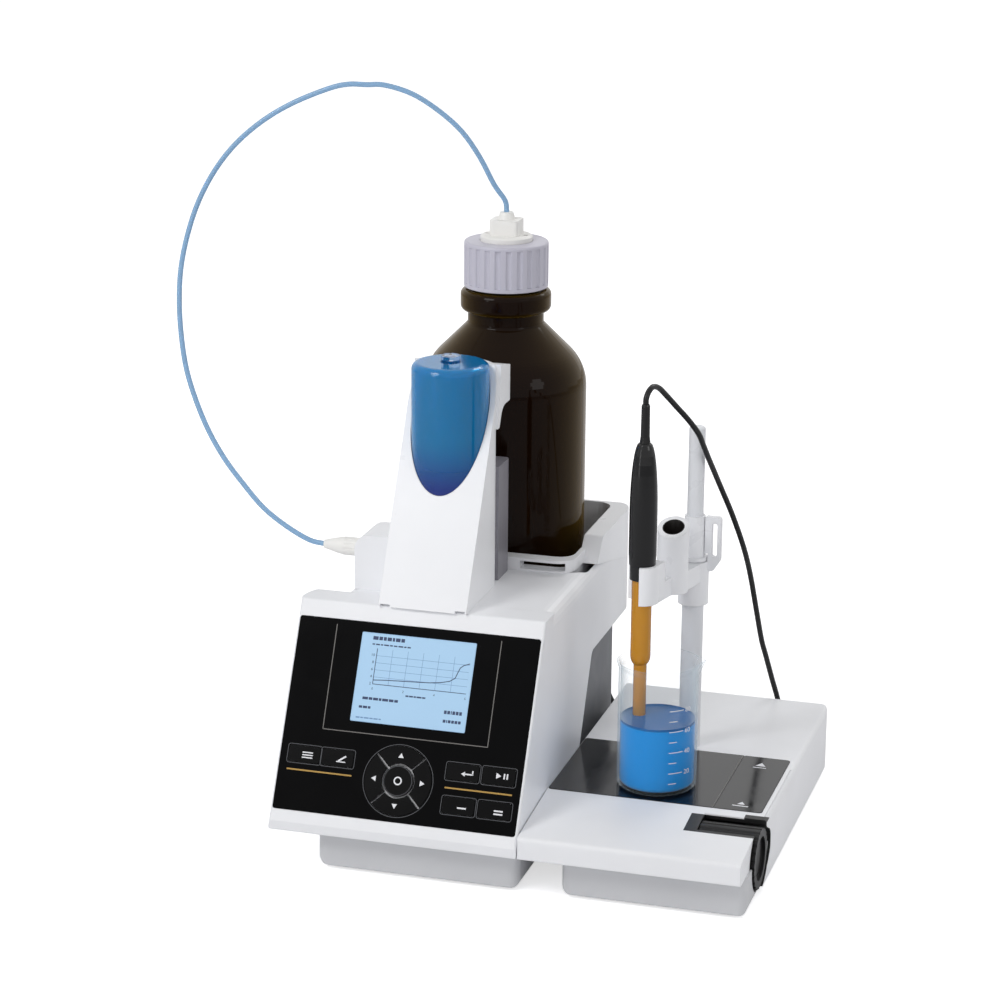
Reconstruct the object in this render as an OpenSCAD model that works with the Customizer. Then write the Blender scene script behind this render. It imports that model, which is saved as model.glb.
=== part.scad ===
// Automatic titrator: piston burette with an exchangeable dosing unit, a reagent
// bottle and a magnetic stirrer with an electrode stand. Millimetres, +Z up.
// X runs along the front, Y runs to the back. Solids are drawn from the joint between
// the two units (x = 0) and the front edge (y = 0), then centred over the footprint.

/* [Base unit] */
// Width across the front panel
panel_w = 151; // [149:0.5:153]
// Width of the housing behind the panel
body_w = 131; // [129:0.5:133]
// Depth of the base unit
unit_d = 268; // [267:0.5:274]
// Height of the deck under the dosing tower
deck_h = 148; // [147:0.5:149]
// Height of the housing's lower edge over the table
body_z = 24; // [23:0.5:25]
// Tilt of the front panel back from upright, in degrees
panel_tilt = 27; // [26:0.5:28]
// Wall thickness of the moulded housings
wall = 3; // [2.5:0.25:3.5]

/* [Keypad and display] */
// Width of the visible display
display_w = 70.1; // [68:0.1:72]
// Height of the visible display
display_h = 52.6; // [51:0.1:54]
// Width of a rectangular key
key_w = 19.4; // [18:0.1:20]
// Height of a rectangular key
key_h = 9.6; // [9:0.1:10]
// Outer radius of the round navigation pad
pad_r = 20.3; // [19:0.1:21]
// Travel of every key
key_travel = 0.6; // [0.4:0.1:0.8]

/* [Dosing unit] */
// Width of the dosing tower
tower_w = 54; // [53:0.5:55]
// Height of the tower's head over the table
tower_h = 282; // [280:1:284]
// Outer radius of the blue light-protection cover
cover_r = 23.2; // [22.6:0.1:23.4]
// Inner radius of the glass burette cylinder
burette_r = 9.5; // [9:0.1:10]
// Stroke of the piston
stroke = 70; // [60:1:70]
// Height of the bottle holder's rim over the table
rim_h = 162; // [160:0.5:164]

/* [Bottle] */
// Radius of the reagent bottle
bottle_r = 50.5; // [49:0.1:50.8]
// Height of the bottle's base over the table
bottle_z = 113.5; // [113:0.5:114]
// Radius of the ribbed cap
cap_r = 26; // [25.5:0.1:27.5]
// Height of the ribbed cap
cap_h = 28.5; // [26:0.5:29]

/* [Stirrer] */
// Width of the stirrer
stirrer_w = 134; // [133:0.5:135]
// Depth of the stirrer
stirrer_d = 260; // [256:1:264]
// Height of the stirrer's top
stirrer_h = 43; // [42.5:0.5:43.5]
// Radius of the speed roller
roller_r = 18; // [17:0.5:18.5]
// Radius of the stand rod above its spacer
rod_r = 5; // [4.5:0.1:5]
// Height of the stand rod's top over the table
rod_top = 245; // [242:1:260]

/* [Beaker and electrode] */
// Outer radius of the beaker
beaker_r = 23.6; // [23.4:0.1:24]
// Height of the beaker
beaker_h = 77; // [75:1:80]
// Radius of the electrode's glass shaft
shaft_r = 6; // [5.5:0.1:6]
// Height of the electrode's tip over the table
tip_z = 75; // [70:1:80]

/* [Hidden] */
$fn = 64;
GAP = 0.3;
THIN = 0.05;

// Front panel plane, as distances up the slope from its lower edge
lip_h = body_z + 6;
tan_t = tan(panel_tilt);
slope_top = (deck_h - lip_h) * tan_t;
slope_len = (deck_h - lip_h) / cos(panel_tilt);
panel_t = 16;
panel_back = panel_t / cos(panel_tilt);
film_t = 0.8;
film_s0 = 7;
film_len = 115;
display_x = -74.8;
display_s = film_s0 + 82.5;
pad_x = -75.5;
pad_s = film_s0 + 24.2;
ok_r = 9;
key_rows = [film_s0 + 33.4, film_s0 + 13.8];
key_left = [-134.4, -113.8];
key_right = [-37.4, -15.6];
key_top = 0.4;
key_t = 2.4;
well_d = key_t - key_top + key_travel + 0.1;
key_gap = 0.25;

// Housing: rear edge of the front wedge, and the seam under the bottle holder
wedge_back = 118.9;
shell_z = 95;
seam_y0 = 176;
seam_z1 = deck_h - 21;
corner_r = 15;
chassis_x = [-121, -10];
chassis_d = unit_d - 10;
tray_x = [-124, -1];
tray_y = [9, unit_d - 18];
foot_h = 2;

// Dosing unit
tower_x = -75;
tower_front = slope_top - 2.3;
tower_z = deck_h;
burette_y = 112.5;
cover_z0 = 205;
cover_top = 285;
cylinder_z = [188, 280];
channel_r = 9.2;
head_y = 150;
head_z = 256;
back_z = 219;
valve = [-114, 100];
valve_z = [tower_z, 182];
fitting_z = 169.5;
holder_front = 150;
bay_x = [-123, -12];
bay_y = [159, unit_d - 5.3];
floor_z = bottle_z - 3.5;
lip_top = deck_h + 8;

// Bottle and cap
bottle = [-70, 211];
glass_t = 2.5;
neck_r = 20;
waist_r = 23.5;
waist_h = 175;
mouth_h = 222;
mouth_z = bottle_z + mouth_h;
cap_z = bottle_z + 226 - cap_h;
cap_top = cap_z + cap_h;
adapter_top = cap_top + 17.5;

// Drives
spindle_r = 4;
spindle_z = [56, 144];
pushrod_r = 7;
pushrod_z = [62, deck_h - 0.3];
foot_z = deck_h;

// Stirrer
skirt_x = [24, stirrer_w - 1.8];
skirt_y = [10, stirrer_d - 12];
roller = [46, 23];
roller_x = [98, 133.2];
roller_slot = [36, 57];
notch_w = 3;
pocket_r = roller_r + 1.5;
plate_x = [1, 129];
plate_y = [65, 152];
plate_t = 1.6;
divider_x = 100.5;
magnet = [60, 92];
rod = [64, 161];
spacer_r = 6.6;
spacer_z = 134;

// Clamp
bush_r = 6.3;
bush_z = [spacer_z, 190];
hub_r = 9.2;
hub_z = [135, 162];
arm_z = [150, 168];
socket = [57, 134];
socket_r = 6.2;
socket_top = 193.5;
electrode = [47.5, 96.5];
clip_r = 7.4;
clip_z = [154, 177];
collar_r = 7.3;
head_r = 8.2;
head_top = 250;
relief_top = 273;

// Beaker
plate_top = stirrer_h + 0.3;
beaker_z = plate_top;
beaker_t = 1.4;

// Electrode cable: radius, the free arch, the run down behind the stirrer, the coil, the plug
cable_r = 1.7;
arch_points = [
    [47.5, 96.5, 273], [47.5, 97, 276.5], [48.3, 100, 280], [49.5, 105, 281.5], [51.5, 111, 279.5],
    [54.5, 118, 273.5], [59, 126, 265], [64.5, 133, 256], [69, 141, 246], [70.5, 148, 237.5],
    [72, 157, 227], [73.5, 166, 217], [76, 176, 204], [81, 188, 184], [86, 201, 160],
    [88, 215, 138], [90, 228, 111], [91.5, 240, 88], [93, 246, 77], [94.5, 252, 66]
];
drop_points = [
    [94.5, 252, 66], [96, 258, 55], [98, 266, 41], [99.5, 271, 29], [100.5, 275, 17],
    [101, 281, 7.5], [101, 288, 3], [100.5, 296, 1.8], [100.5, 305, 1.8]
];
tail_points = [
    [59, 305, 5.3], [59, 298, 4.2], [55.5, 292.5, 2.4], [46, 289.5, 1.8], [30, 289, 1.8],
    [12, 292, 1.8], [-4, 296, 3], [-15, 299, 8], [-22, 301, 17], [-26, 302, 29],
    [-28, 301, 41], [-29.5, 298, 51], [-30, 292, 58], [-30, 285.5, 60], [-30, 279, 60]
];
coil_c = [79.7, 305];
coil_r = 19;
coil_w = 7.2;
coil_h = 7;

// Suction hose: from the valve over to the bottle, split at its highest point
hose_r = 1.6;
hose_low_points = [
    [-150, 100, 169.5], [-160, 100, 171], [-175, 101, 178], [-190, 102, 188], [-204, 105, 201],
    [-217, 109, 214], [-229, 114, 229], [-239, 119, 246], [-247, 124, 264], [-252, 129, 283],
    [-255, 134, 303], [-256, 140, 323], [-254, 147, 343], [-249, 154, 363], [-240, 160, 382],
    [-228, 165, 398], [-212, 169, 412], [-194, 173, 423], [-173, 177, 432], [-161, 179, 435],
    [-150, 181, 435]
];
hose_up_points = [
    [-150, 181, 435], [-139, 183, 435], [-123, 187, 430], [-108, 192, 420], [-95, 198, 407],
    [-85, 203, 391], [-77, 207, 374], [-71, 210.5, 364], [-70, 211, 357]
];

// ---- helpers -------------------------------------------------------------------

function unit(v) = v / norm(v);

// Corner b of an outline, rounded by the radius in its third number
function fillet(a, b, c) =
    let(p = [b.x, b.y], u = unit([a.x, a.y] - p), v = unit([c.x, c.y] - p), r = b.z, n = r > 15 ? 12 : 5)
    r == 0 ? [p] :
    let(half = acos(u * v) / 2, m = p + unit(u + v) * (r / sin(half)))
    let(from = p + u * (r / tan(half)) - m, to = p + v * (r / tan(half)) - m)
    let(a0 = atan2(from.y, from.x), sweep = (atan2(to.y, to.x) - a0 + 540) % 360 - 180)
    [for (i = [0 : n]) m + r * [cos(a0 + sweep * i / n), sin(a0 + sweep * i / n)]];

function rounded(pts) =
    let(n = len(pts))
    [for (i = [0 : n - 1]) each fillet(pts[(i + n - 1) % n], pts[i], pts[(i + 1) % n])];

function box_pts(x, y, r) =
    [[x[0], y[0], r], [x[1], y[0], r], [x[1], y[1], r], [x[0], y[1], r]];

module outline(pts) {
    polygon(rounded(pts));
}

// A (y, z) outline extruded along X, and an (x, z) outline extruded along Y
module along_x(x0, x1) {
    translate([x0, 0, 0]) rotate([90, 0, 90]) linear_extrude(x1 - x0) children();
}

module along_y(y0, y1) {
    translate([0, y1, 0]) rotate([90, 0, 0]) linear_extrude(y1 - y0) children();
}

module upright(z0, z1) {
    translate([0, 0, z0]) linear_extrude(z1 - z0) children();
}

module pillar(at, r, z0, z1) {
    translate([at.x, at.y, z0]) cylinder(r = r, h = z1 - z0);
}

module ring(at, r_in, r_out, z0, z1) {
    difference() {
        pillar(at, r_out, z0, z1);
        pillar(at, r_in, z0 - 1, z1 + 1);
    }
}

// The whole drawing, centred over its footprint
module place() {
    translate([(panel_w - stirrer_w) / 2, -unit_d / 2, 0]) children();
}

// Frame on the panel: x across, s up the slope, h out of the face
module on_panel(x = 0, s = 0, h = 0) {
    translate([0, 0, lip_h]) rotate([90 - panel_tilt, 0, 0]) translate([x, s, h]) children();
}

// Tube swept along points: each ring is square to the local run
function tangent(p, i) = unit(p[min(i + 1, len(p) - 1)] - p[max(i - 1, 0)]);

function carried(t, side) = unit(side - t * (side * t));

function sides(p, i, side) =
    i == len(p) ? [] : let(s = carried(tangent(p, i), side)) concat([s], sides(p, i + 1, s));

module tube(p, r, n = 8) {
    start = cross(tangent(p, 0), [0.3, 1, 0.2]);
    s = sides(p, 0, start);
    rings = [for (i = [0 : len(p) - 1]) let(w = cross(tangent(p, i), s[i]))
        for (k = [0 : n - 1]) p[i] + r * (s[i] * cos(360 * k / n) + w * sin(360 * k / n))];
    last = (len(p) - 1) * n;
    walls = [for (i = [0 : len(p) - 2]) for (k = [0 : n - 1])
        let(a = i * n + k, b = i * n + (k + 1) % n) [a, a + n, b + n, b]];
    polyhedron(rings, concat([[for (k = [0 : n - 1]) k]], walls,
        [[for (k = [n - 1 : -1 : 0]) last + k]]));
}

// ---- base unit -----------------------------------------------------------------

module key_shape(grow = 0) {
    outline(box_pts([-key_w / 2 - grow, key_w / 2 + grow], [-key_h / 2 - grow, key_h / 2 + grow], 1.5));
}

module window_shape(grow = 0) {
    outline(box_pts([-display_w / 2 - grow, display_w / 2 + grow],
        [-display_h / 2 - grow, display_h / 2 + grow], 0.8));
}

// The six rectangular keys: two on the left, four on the right
KEY_PLACES = [[key_left[0], key_rows[0]], [key_left[1], key_rows[0]], [key_right[0], key_rows[0]],
    [key_right[1], key_rows[0]], [key_right[0], key_rows[1]], [key_right[1], key_rows[1]]];

module key_wells(depth) {
    for (k = KEY_PLACES) on_panel(k.x, k.y, -depth) linear_extrude(depth + 2) key_shape(key_gap);
    on_panel(pad_x, pad_s, -depth) cylinder(r = pad_r + key_gap, h = depth + 2);
}

module front_panel() {
    color("#f1f2f5") difference() {
        intersection() {
            along_x(-panel_w, 0) outline([[0, body_z, 1], [0, lip_h, 1], [slope_top, deck_h, 2],
                [slope_top + panel_back, deck_h, 0], [(body_z - lip_h) * tan_t + panel_back, body_z, 0]]);
            on_panel(0, 0, -40) linear_extrude(60) outline(box_pts([-panel_w, 0], [-6.2, slope_len + 12], 3));
            on_panel() along_y(-20, slope_len + 20) outline([[-panel_w, -panel_t - 9, 22],
                [-panel_w, 0, 2.5], [0, 0, 1.5], [0, -panel_t - 9, 0]]);
        }
        on_panel(0, film_s0, -film_t) linear_extrude(5)
            outline(box_pts([-panel_w + 1.5, -1.5], [0, film_len], 1.5));
        key_wells(well_d);
        on_panel(display_x, display_s, -8) linear_extrude(10) window_shape(0.2);
        on_panel(0, 0, -panel_t - 12) linear_extrude(panel_t + 7.5)
            outline(box_pts([-panel_w + 24, -5], [5, slope_len - 9], 3));
    }
}

module keypad_film() {
    color("#17171b") difference() {
        on_panel(0, film_s0, -film_t) linear_extrude(film_t)
            outline(box_pts([-panel_w + 1.7, -1.7], [0.2, film_len - 0.2], 1.5));
        key_wells(well_d);
        on_panel(display_x, display_s, -8) linear_extrude(10) window_shape(0.2);
    }
}

module display_module() {
    color("#a9cfee") {
        on_panel(display_x, display_s, -4.6) linear_extrude(4.3) window_shape();
        on_panel(display_x, display_s, -9) linear_extrude(4.5) window_shape(4);
    }
}

// A rectangular key: 0 and 1 on the left, 2 to 5 on the right
module rect_key(i) {
    color("#1d1d21") on_panel(KEY_PLACES[i].x, KEY_PLACES[i].y, key_top - key_t)
        linear_extrude(key_t) key_shape();
}

// One quarter of the navigation pad, pointing up when turn is 0
module pad_key(turn) {
    reach = pad_r * 2;
    inset = 0.9;
    color("#1d1d21") on_panel(pad_x, pad_s, key_top - key_t) rotate([0, 0, turn])
        linear_extrude(key_t) intersection() {
            difference() {
                circle(r = pad_r);
                circle(r = ok_r + 1.2);
            }
            polygon([[0, inset], [reach, reach + inset], [-reach, reach + inset]]);
        }
}

module key_up() { pad_key(0); }
module key_left() { pad_key(90); }
module key_down() { pad_key(180); }
module key_right() { pad_key(270); }
module key_ok() {
    color("#1d1d21") on_panel(pad_x, pad_s, key_top - key_t) cylinder(r = ok_r, h = key_t);
}
module key_l1() { rect_key(0); }
module key_l2() { rect_key(1); }
module key_r1() { rect_key(2); }
module key_r2() { rect_key(3); }
module key_r3() { rect_key(4); }
module key_r4() { rect_key(5); }

// Plan outline of the housing, set in from its outer faces
module unit_plan(inset = 0) {
    outline([[-body_w + inset, 0, 0], [-inset, 0, 0], [-inset, unit_d - inset, corner_r - inset],
        [-body_w + inset, unit_d - inset, corner_r - inset]]);
}

// Back face of the front wedge at a height, parallel with the panel
function wedge_y(z) = wedge_back + z * tan_t;
function panel_y(z) = (z - lip_h) * tan_t + panel_back;

module housing() {
    color("#eceef2") difference() {
        intersection() {
            along_x(-body_w, 0) outline([[panel_y(body_z), body_z, 0], [panel_y(deck_h), deck_h, 0],
                [seam_y0, deck_h, 0], [unit_d, seam_z1, 0], [unit_d, shell_z, 5],
                [wedge_y(shell_z), shell_z, 6], [wedge_y(body_z), body_z, 2]]);
            along_y(0, unit_d) outline([[-body_w, 0, 0], [0, 0, 0], [0, deck_h, 8], [-body_w, deck_h, 8]]);
            upright(0, deck_h) unit_plan();
        }
        intersection() {
            along_x(-body_w, 0) outline([[panel_y(body_z + wall) - 6, body_z + wall, 0],
                [panel_y(deck_h - wall) - 6, deck_h - wall, 0], [unit_d, deck_h - wall, 0],
                [unit_d, shell_z + wall, 0], [wedge_y(shell_z + wall) - wall, shell_z + wall, 3],
                [wedge_y(body_z + wall) - wall, body_z + wall, 0]]);
            upright(0, deck_h) unit_plan(wall);
        }
        upright(shell_z + 20, deck_h + 1)
            outline(box_pts([-body_w + wall, -wall], [holder_front + 4, unit_d - wall], corner_r - wall));
        pillar([tower_x, burette_y], pushrod_r + 0.6, deck_h - 5, deck_h + 1);
        pillar(valve, 3.6, deck_h - 5, deck_h + 1);
    }
}

// Recessed lower housing, which carries the sockets at the back
module lower_chassis() {
    color("#8d8f95") difference() {
        along_x(chassis_x[0], chassis_x[1]) outline([[wedge_y(body_z) + GAP, body_z, 0],
            [wedge_y(shell_z) + GAP, shell_z, 6.5], [chassis_d, shell_z, 0],
            [chassis_d, body_z, 5]]);
        along_x(chassis_x[0] + wall, chassis_x[1] - wall) outline([
            [wedge_y(body_z + wall) + wall + 1, body_z + wall, 0],
            [wedge_y(shell_z) + wall + 1, shell_z + 1, 0], [chassis_d - wall, shell_z + 1, 0],
            [chassis_d - wall, body_z + wall, 3]]);
        along_y(chassis_d - 2 * wall, chassis_d + 1) socket_cutouts();
    }
}

// Holes in the back wall, as (x, z) places
usb_at = [-92, 52];
power_at = [-111, 78];
jack_at = [-111, 52];
banana_at = [[-72, 52], [-56, 52]];
electrode_at = [-30, 60];
USB = [12.2, 11];
SWITCH = [10, 15];
axle_r = 1.2;

module socket_cutouts() {
    translate(usb_at) square(USB + [0.2, 0.2], center = true);
    translate(power_at) square(SWITCH + [1.2, 1.2], center = true);
    translate(jack_at) circle(r = 5.6);
    for (p = banana_at) translate(p) circle(r = 5.1);
    translate(electrode_at) circle(r = 7.1);
}

module socket_body(at, r, bore, depth, proud) {
    difference() {
        translate([at.x, chassis_d + proud, at.y]) rotate([90, 0, 0]) cylinder(r = r, h = depth + proud + 2);
        translate([at.x, chassis_d + proud + 1, at.y]) rotate([90, 0, 0])
            cylinder(r = bore, h = depth + proud + 1);
    }
}

module rear_sockets() {
    color("#26262a") {
        for (p = banana_at) socket_body(p, 5, 2.05, 14, 2);
        socket_body(jack_at, 5.5, 3, 10, 1.5);
        socket_body(electrode_at, 7, 5, 10, 6);
        difference() {
            along_y(chassis_d - 14, chassis_d + 0.5) translate(usb_at) square(USB, center = true);
            along_y(chassis_d - 11, chassis_d + 2) translate(usb_at) square([8.4, 7.8], center = true);
        }
        difference() {
            along_y(chassis_d - 12, chassis_d + 1) translate(power_at)
                square(SWITCH + [1, 1], center = true);
            along_y(chassis_d - 10.5, chassis_d + 2) translate(power_at)
                square(SWITCH - [1, 0.6], center = true);
            rocker_axle(axle_r + THIN, SWITCH.x + 2);
        }
    }
}

module rocker_axle(r, length) {
    translate([power_at.x, chassis_d - 2, power_at.y]) rotate([0, 90, 0])
        cylinder(r = r, h = length, center = true);
}

// Rocker of the power switch, tipping on its axle
module power_switch() {
    half_w = 4.2;
    color("#2b2b30") {
        intersection() {
            rocker_axle(7, 2 * half_w);
            along_x(power_at.x - half_w, power_at.x + half_w) polygon([
                [chassis_d - 8.5, power_at.y - 5], [chassis_d + 2.5, power_at.y - 6.8],
                [chassis_d + 0.8, power_at.y], [chassis_d + 2.5, power_at.y + 6.8],
                [chassis_d - 8.5, power_at.y + 5]]);
        }
        rocker_axle(axle_r, SWITCH.x + 0.8);
    }
}

module base_tray() {
    color("#a7a8ad") difference() {
        intersection() {
            along_y(tray_y[0], tray_y[1]) outline([[tray_x[0], foot_h, 7], [tray_x[1], foot_h, 4],
                [tray_x[1], body_z, 0], [tray_x[0], body_z, 0]]);
            upright(0, body_z) outline(box_pts(tray_x, tray_y, 6));
        }
        upright(foot_h + wall, body_z + 1)
            outline(box_pts([tray_x[0] + wall, tray_x[1] - wall], [tray_y[0] + wall, tray_y[1] - wall], 5));
    }
}

// Plate under both units that keeps them side by side
module link_bracket() {
    link_y = [70, 190];
    color("#8d8f95") translate([tray_x[1], link_y[0], body_z - wall])
        cube([skirt_x[0] - tray_x[1], link_y[1] - link_y[0], wall]);
}

module feet() {
    color("#2c2c2f") for (x = [tray_x[0] + 14, tray_x[1] - 12, skirt_x[0] + 12, skirt_x[1] - 12])
        for (y = [tray_y[0] + 14, skirt_y[1] - 14]) pillar([x, y], 6, 0, foot_h);
}

module main_board() {
    color("#2f6b46") {
        on_panel(-123, 14, -14) cube([110, 100, 1.6]);
        on_panel(-106, 22, -12.4) cube([16, 16, 2]);
        on_panel(-50, 24, -12.4) cube([22, 14, 1.6]);
        for (x = [-118.5, -18]) for (up = [20, 108]) on_panel(x, up, -12.5) cylinder(r = 3, h = 8);
    }
}

module piston_motor() {
    side = 33;
    color("#4a4c52") {
        translate([tower_x - side / 2, burette_y - side / 2, body_z + wall])
            cube([side, side, spindle_z[0] - body_z - wall - 4]);
        pillar([tower_x, burette_y], 11, spindle_z[0] - 4, spindle_z[0] - 2);
    }
}

module drive_spindle() {
    color("#b9bcc2") pillar([tower_x, burette_y], spindle_r, spindle_z[0] - 1.8, spindle_z[1]);
}

module drive_pushrod() {
    color("#d9d2b8") difference() {
        pillar([tower_x, burette_y], pushrod_r, pushrod_z[0], pushrod_z[1]);
        pillar([tower_x, burette_y], spindle_r + THIN, pushrod_z[0] - 1, spindle_z[1] + 1);
    }
}

module valve_motor() {
    color("#4a4c52") {
        translate([valve.x - 11, valve.y - 14, 96]) cube([22, 28, 26]);
        pillar(valve, 6, 121, 125);
        for (x = [-11, 7]) for (y = [-14, 10])
            translate([valve.x + x, valve.y + y, 121]) cube([4, 4, deck_h - wall - 121]);
    }
}

module valve_coupling() {
    color("#c9cbd0") {
        pillar(valve, 3, 125.3, deck_h - 0.5);
        translate([valve.x - 2.4, valve.y - 0.9, deck_h - 0.5]) cube([4.8, 1.8, 2.5]);
    }
}

// ---- dosing unit ---------------------------------------------------------------

module dosing_tower() {
    half = tower_w / 2;
    top_y = tower_front + (tower_h - tower_z) * tan_t;
    slope = [[tower_front, tower_z, 0], [top_y, tower_h, 3], [head_y, tower_h, 0], [head_y, tower_z, 0]];
    color("#f1f2f5") difference() {
        union() {
            intersection() {
                along_x(tower_x - half, tower_x + half) outline(slope);
                union() {
                    pillar([tower_x, burette_y], half, tower_z, tower_h);
                    translate([tower_x - half, 0, tower_z]) cube([tower_w, burette_y, tower_h]);
                }
            }
            intersection() {
                along_x(tower_x - half, tower_x + half) outline([[top_y + 1, tower_h, 0],
                    [head_y, tower_h - 5, 3], [head_y, head_z, 4], [head_y - 20, head_z, 10],
                    [head_y - 26, head_z - 12, 0], [top_y - 6, head_z - 12, 0]]);
                upright(0, tower_h) outline([[tower_x - half, 0, 0], [tower_x + half, 0, 0],
                    [tower_x + half, head_y, 5], [tower_x - half, head_y, 5]]);
            }
        }
        pillar([tower_x, burette_y], cover_r + 0.25, cover_z0, tower_h + 20);
        pillar([tower_x, burette_y], channel_r, tower_z - 1, cover_z0);
        pillar([tower_x, burette_y], 13, cylinder_z[0], cover_z0 + 1);
        for (x = [-1, 1]) translate([tower_x + x * (half - 4), tower_front, tower_z])
            cube([6, 8, 2.8], center = true);
    }
}

module rear_cover() {
    half = tower_w / 2 - 1;
    color("#8b8a92") difference() {
        upright(tower_z, back_z) outline([[tower_x - half, burette_y + 14.3, 0],
            [tower_x + half, burette_y + 14.3, 0], [tower_x + half, holder_front, 3],
            [tower_x - half, holder_front, 3]]);
        pillar([tower_x, burette_y], tower_w / 2, tower_z - 1, back_z + 1);
    }
}

module bottle_holder() {
    front_x = [-body_w + 4, -9];
    color("#eceef2") difference() {
        union() {
            intersection() {
                along_x(-body_w, 0) outline([[seam_y0, deck_h, 0], [seam_y0 + 14, rim_h, 5],
                    [unit_d, rim_h, 3], [unit_d, seam_z1, 0]]);
                upright(0, rim_h) unit_plan();
            }
            upright(deck_h, lip_top) outline([[front_x[0], holder_front, 8],
                [front_x[1], holder_front, 12], [front_x[1], seam_y0 + 6, 0], [front_x[0], seam_y0 + 6, 0]]);
            upright(floor_z, deck_h + 4) outline(box_pts([bay_x[0] - 2, bay_x[1] + 2],
                [bay_y[0] - 2, bay_y[1] + 1.8], 12));
        }
        upright(bottle_z, rim_h + 1) outline(box_pts(bay_x, bay_y, 10));
        translate([-42, holder_front - 1, deck_h + 1.4]) cube([28, bay_y[0] - holder_front + 6, 4.8]);
        translate([-56, holder_front - 1, deck_h + 4]) rotate([-90, 0, 0]) cylinder(r = 2.2, h = 5);
    }
}

module glass_cylinder() {
    at = [tower_x, burette_y];
    color([0.9, 0.95, 1, 0.4]) difference() {
        union() {
            pillar(at, burette_r + 2.2, cylinder_z[0], cylinder_z[1]);
            pillar(at, 12.8, cylinder_z[0], cylinder_z[0] + 6);
            pillar(at, 5.6, cylinder_z[1], cover_top + 4);
        }
        pillar(at, burette_r, cylinder_z[0] - 1, cylinder_z[1] - 3);
        pillar(at, 1.2, cylinder_z[1] - 4, cover_top + 1);
    }
}

module uv_cover() {
    at = [tower_x, burette_y];
    color([0.05, 0.45, 0.8, 0.8]) difference() {
        translate([at.x, at.y, 0]) rotate_extrude() outline([[0, cover_z0, 0], [cover_r, cover_z0, 0],
            [cover_r, cover_top, 4], [0, cover_top, 0]]);
        translate([at.x, at.y, 0]) rotate_extrude() outline([[0, cover_z0 - 1, 0],
            [cover_r - 1.8, cover_z0 - 1, 0], [cover_r - 1.8, cover_top - 1.8, 3], [0, cover_top - 1.8, 0]]);
        pillar(at, 6, cover_top - 5, cover_top + 1);
    }
}

module piston() {
    at = [tower_x, burette_y];
    color("#f5f5f0") {
        pillar(at, 6.5, foot_z, foot_z + 4);
        pillar(at, 4.5, foot_z + 4, cylinder_z[0] + 3);
        pillar(at, burette_r - THIN, cylinder_z[0] + 3, cylinder_z[0] + 14);
    }
}

module valve_body() {
    x = [-body_w + 5, tower_x - tower_w / 2];
    color("#eef0f4") difference() {
        along_y(valve.y - 15, valve.y + 15) outline([[x[0], valve_z[0], 0], [x[1], valve_z[0], 0],
            [x[1], valve_z[1], 0], [x[0], valve_z[1], 9]]);
        pillar(valve, 6 + THIN, valve_z[0] - 1, valve_z[1] - 6);
        translate([x[0] - 1, valve.y, fitting_z]) rotate([0, 90, 0]) cylinder(r = 4.05, h = 7);
    }
}

module valve_rotor() {
    color("#f7f7f3") difference() {
        pillar(valve, 6, valve_z[0] + 0.4, valve_z[1] - 6.5);
        translate([valve.x - 2.6, valve.y - 1.1, valve_z[0]]) cube([5.2, 2.2, 2.5]);
    }
}

// Knurled nut with a tapered nose, which holds the suction hose
module hose_fitting() {
    x = -body_w + 5;
    color("#f3efe6") translate([x, valve.y, fitting_z]) rotate([0, -90, 0]) difference() {
        rotate_extrude() polygon([[0, -5], [4, -5], [4, 0], [5.6, 0], [5.6, 11], [4.9, 15],
            [2.6, 24], [0, 24]]);
        for (a = [0 : 30 : 330]) rotate([0, 0, a]) translate([5.9, 0, 2]) cylinder(r = 0.6, h = 8);
    }
}

// ---- bottle --------------------------------------------------------------------

// Outer line of the bottle from its base to its mouth, as [radius, height]
// Body, round shoulder and 45 degree cone up to the waist, moved inwards by a wall's thickness
function bottle_line(inset) =
    let(r = bottle_r - inset, waist = waist_r - inset, lift = inset * tan(22.5))
    [[0, inset * 1.4, 0], [r, inset * 1.4, 6], [r, waist_h - bottle_r + waist_r - lift, 32 - inset],
        [waist, waist_h - lift, 3]];

module reagent_bottle() {
    bead_r = 28;
    bead = [waist_h + 7.5, waist_h + 21];
    color([0.16, 0.09, 0.04, 0.95]) translate([bottle.x, bottle.y, bottle_z]) difference() {
        rotate_extrude() outline(concat(bottle_line(0), [[waist_r, bead[0], 1], [bead_r, bead[0], 3.4],
            [bead_r, bead[1], 3.4], [neck_r, bead[1], 1], [neck_r, mouth_h, 1], [0, mouth_h, 0]]));
        rotate_extrude() outline(concat(bottle_line(glass_t), [[waist_r - glass_t, bead[0], 1],
            [neck_r - 4, bead[0] + 5, 1], [neck_r - 4, mouth_h + 1, 0], [0, mouth_h + 1, 0]]));
    }
}

module bottle_cap() {
    ribs = 24;
    groove_r = 2.2;
    rim = 2.5;
    color("#b7b5c2") translate([bottle.x, bottle.y, cap_z]) difference() {
        rotate_extrude() outline([[neck_r + 0.4, 0, 0], [cap_r, 0, 0.6], [cap_r, cap_h, 1.6],
            [16.4, cap_h, 0], [16.4, cap_h - 3, 0], [neck_r + 0.4, cap_h - 3, 0]]);
        for (i = [0 : ribs - 1]) rotate([0, 0, 360 * (i + 0.3) / ribs])
            translate([cap_r + groove_r - 1, 0, rim]) cylinder(r = groove_r, h = cap_h - 2 * rim);
    }
}

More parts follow.
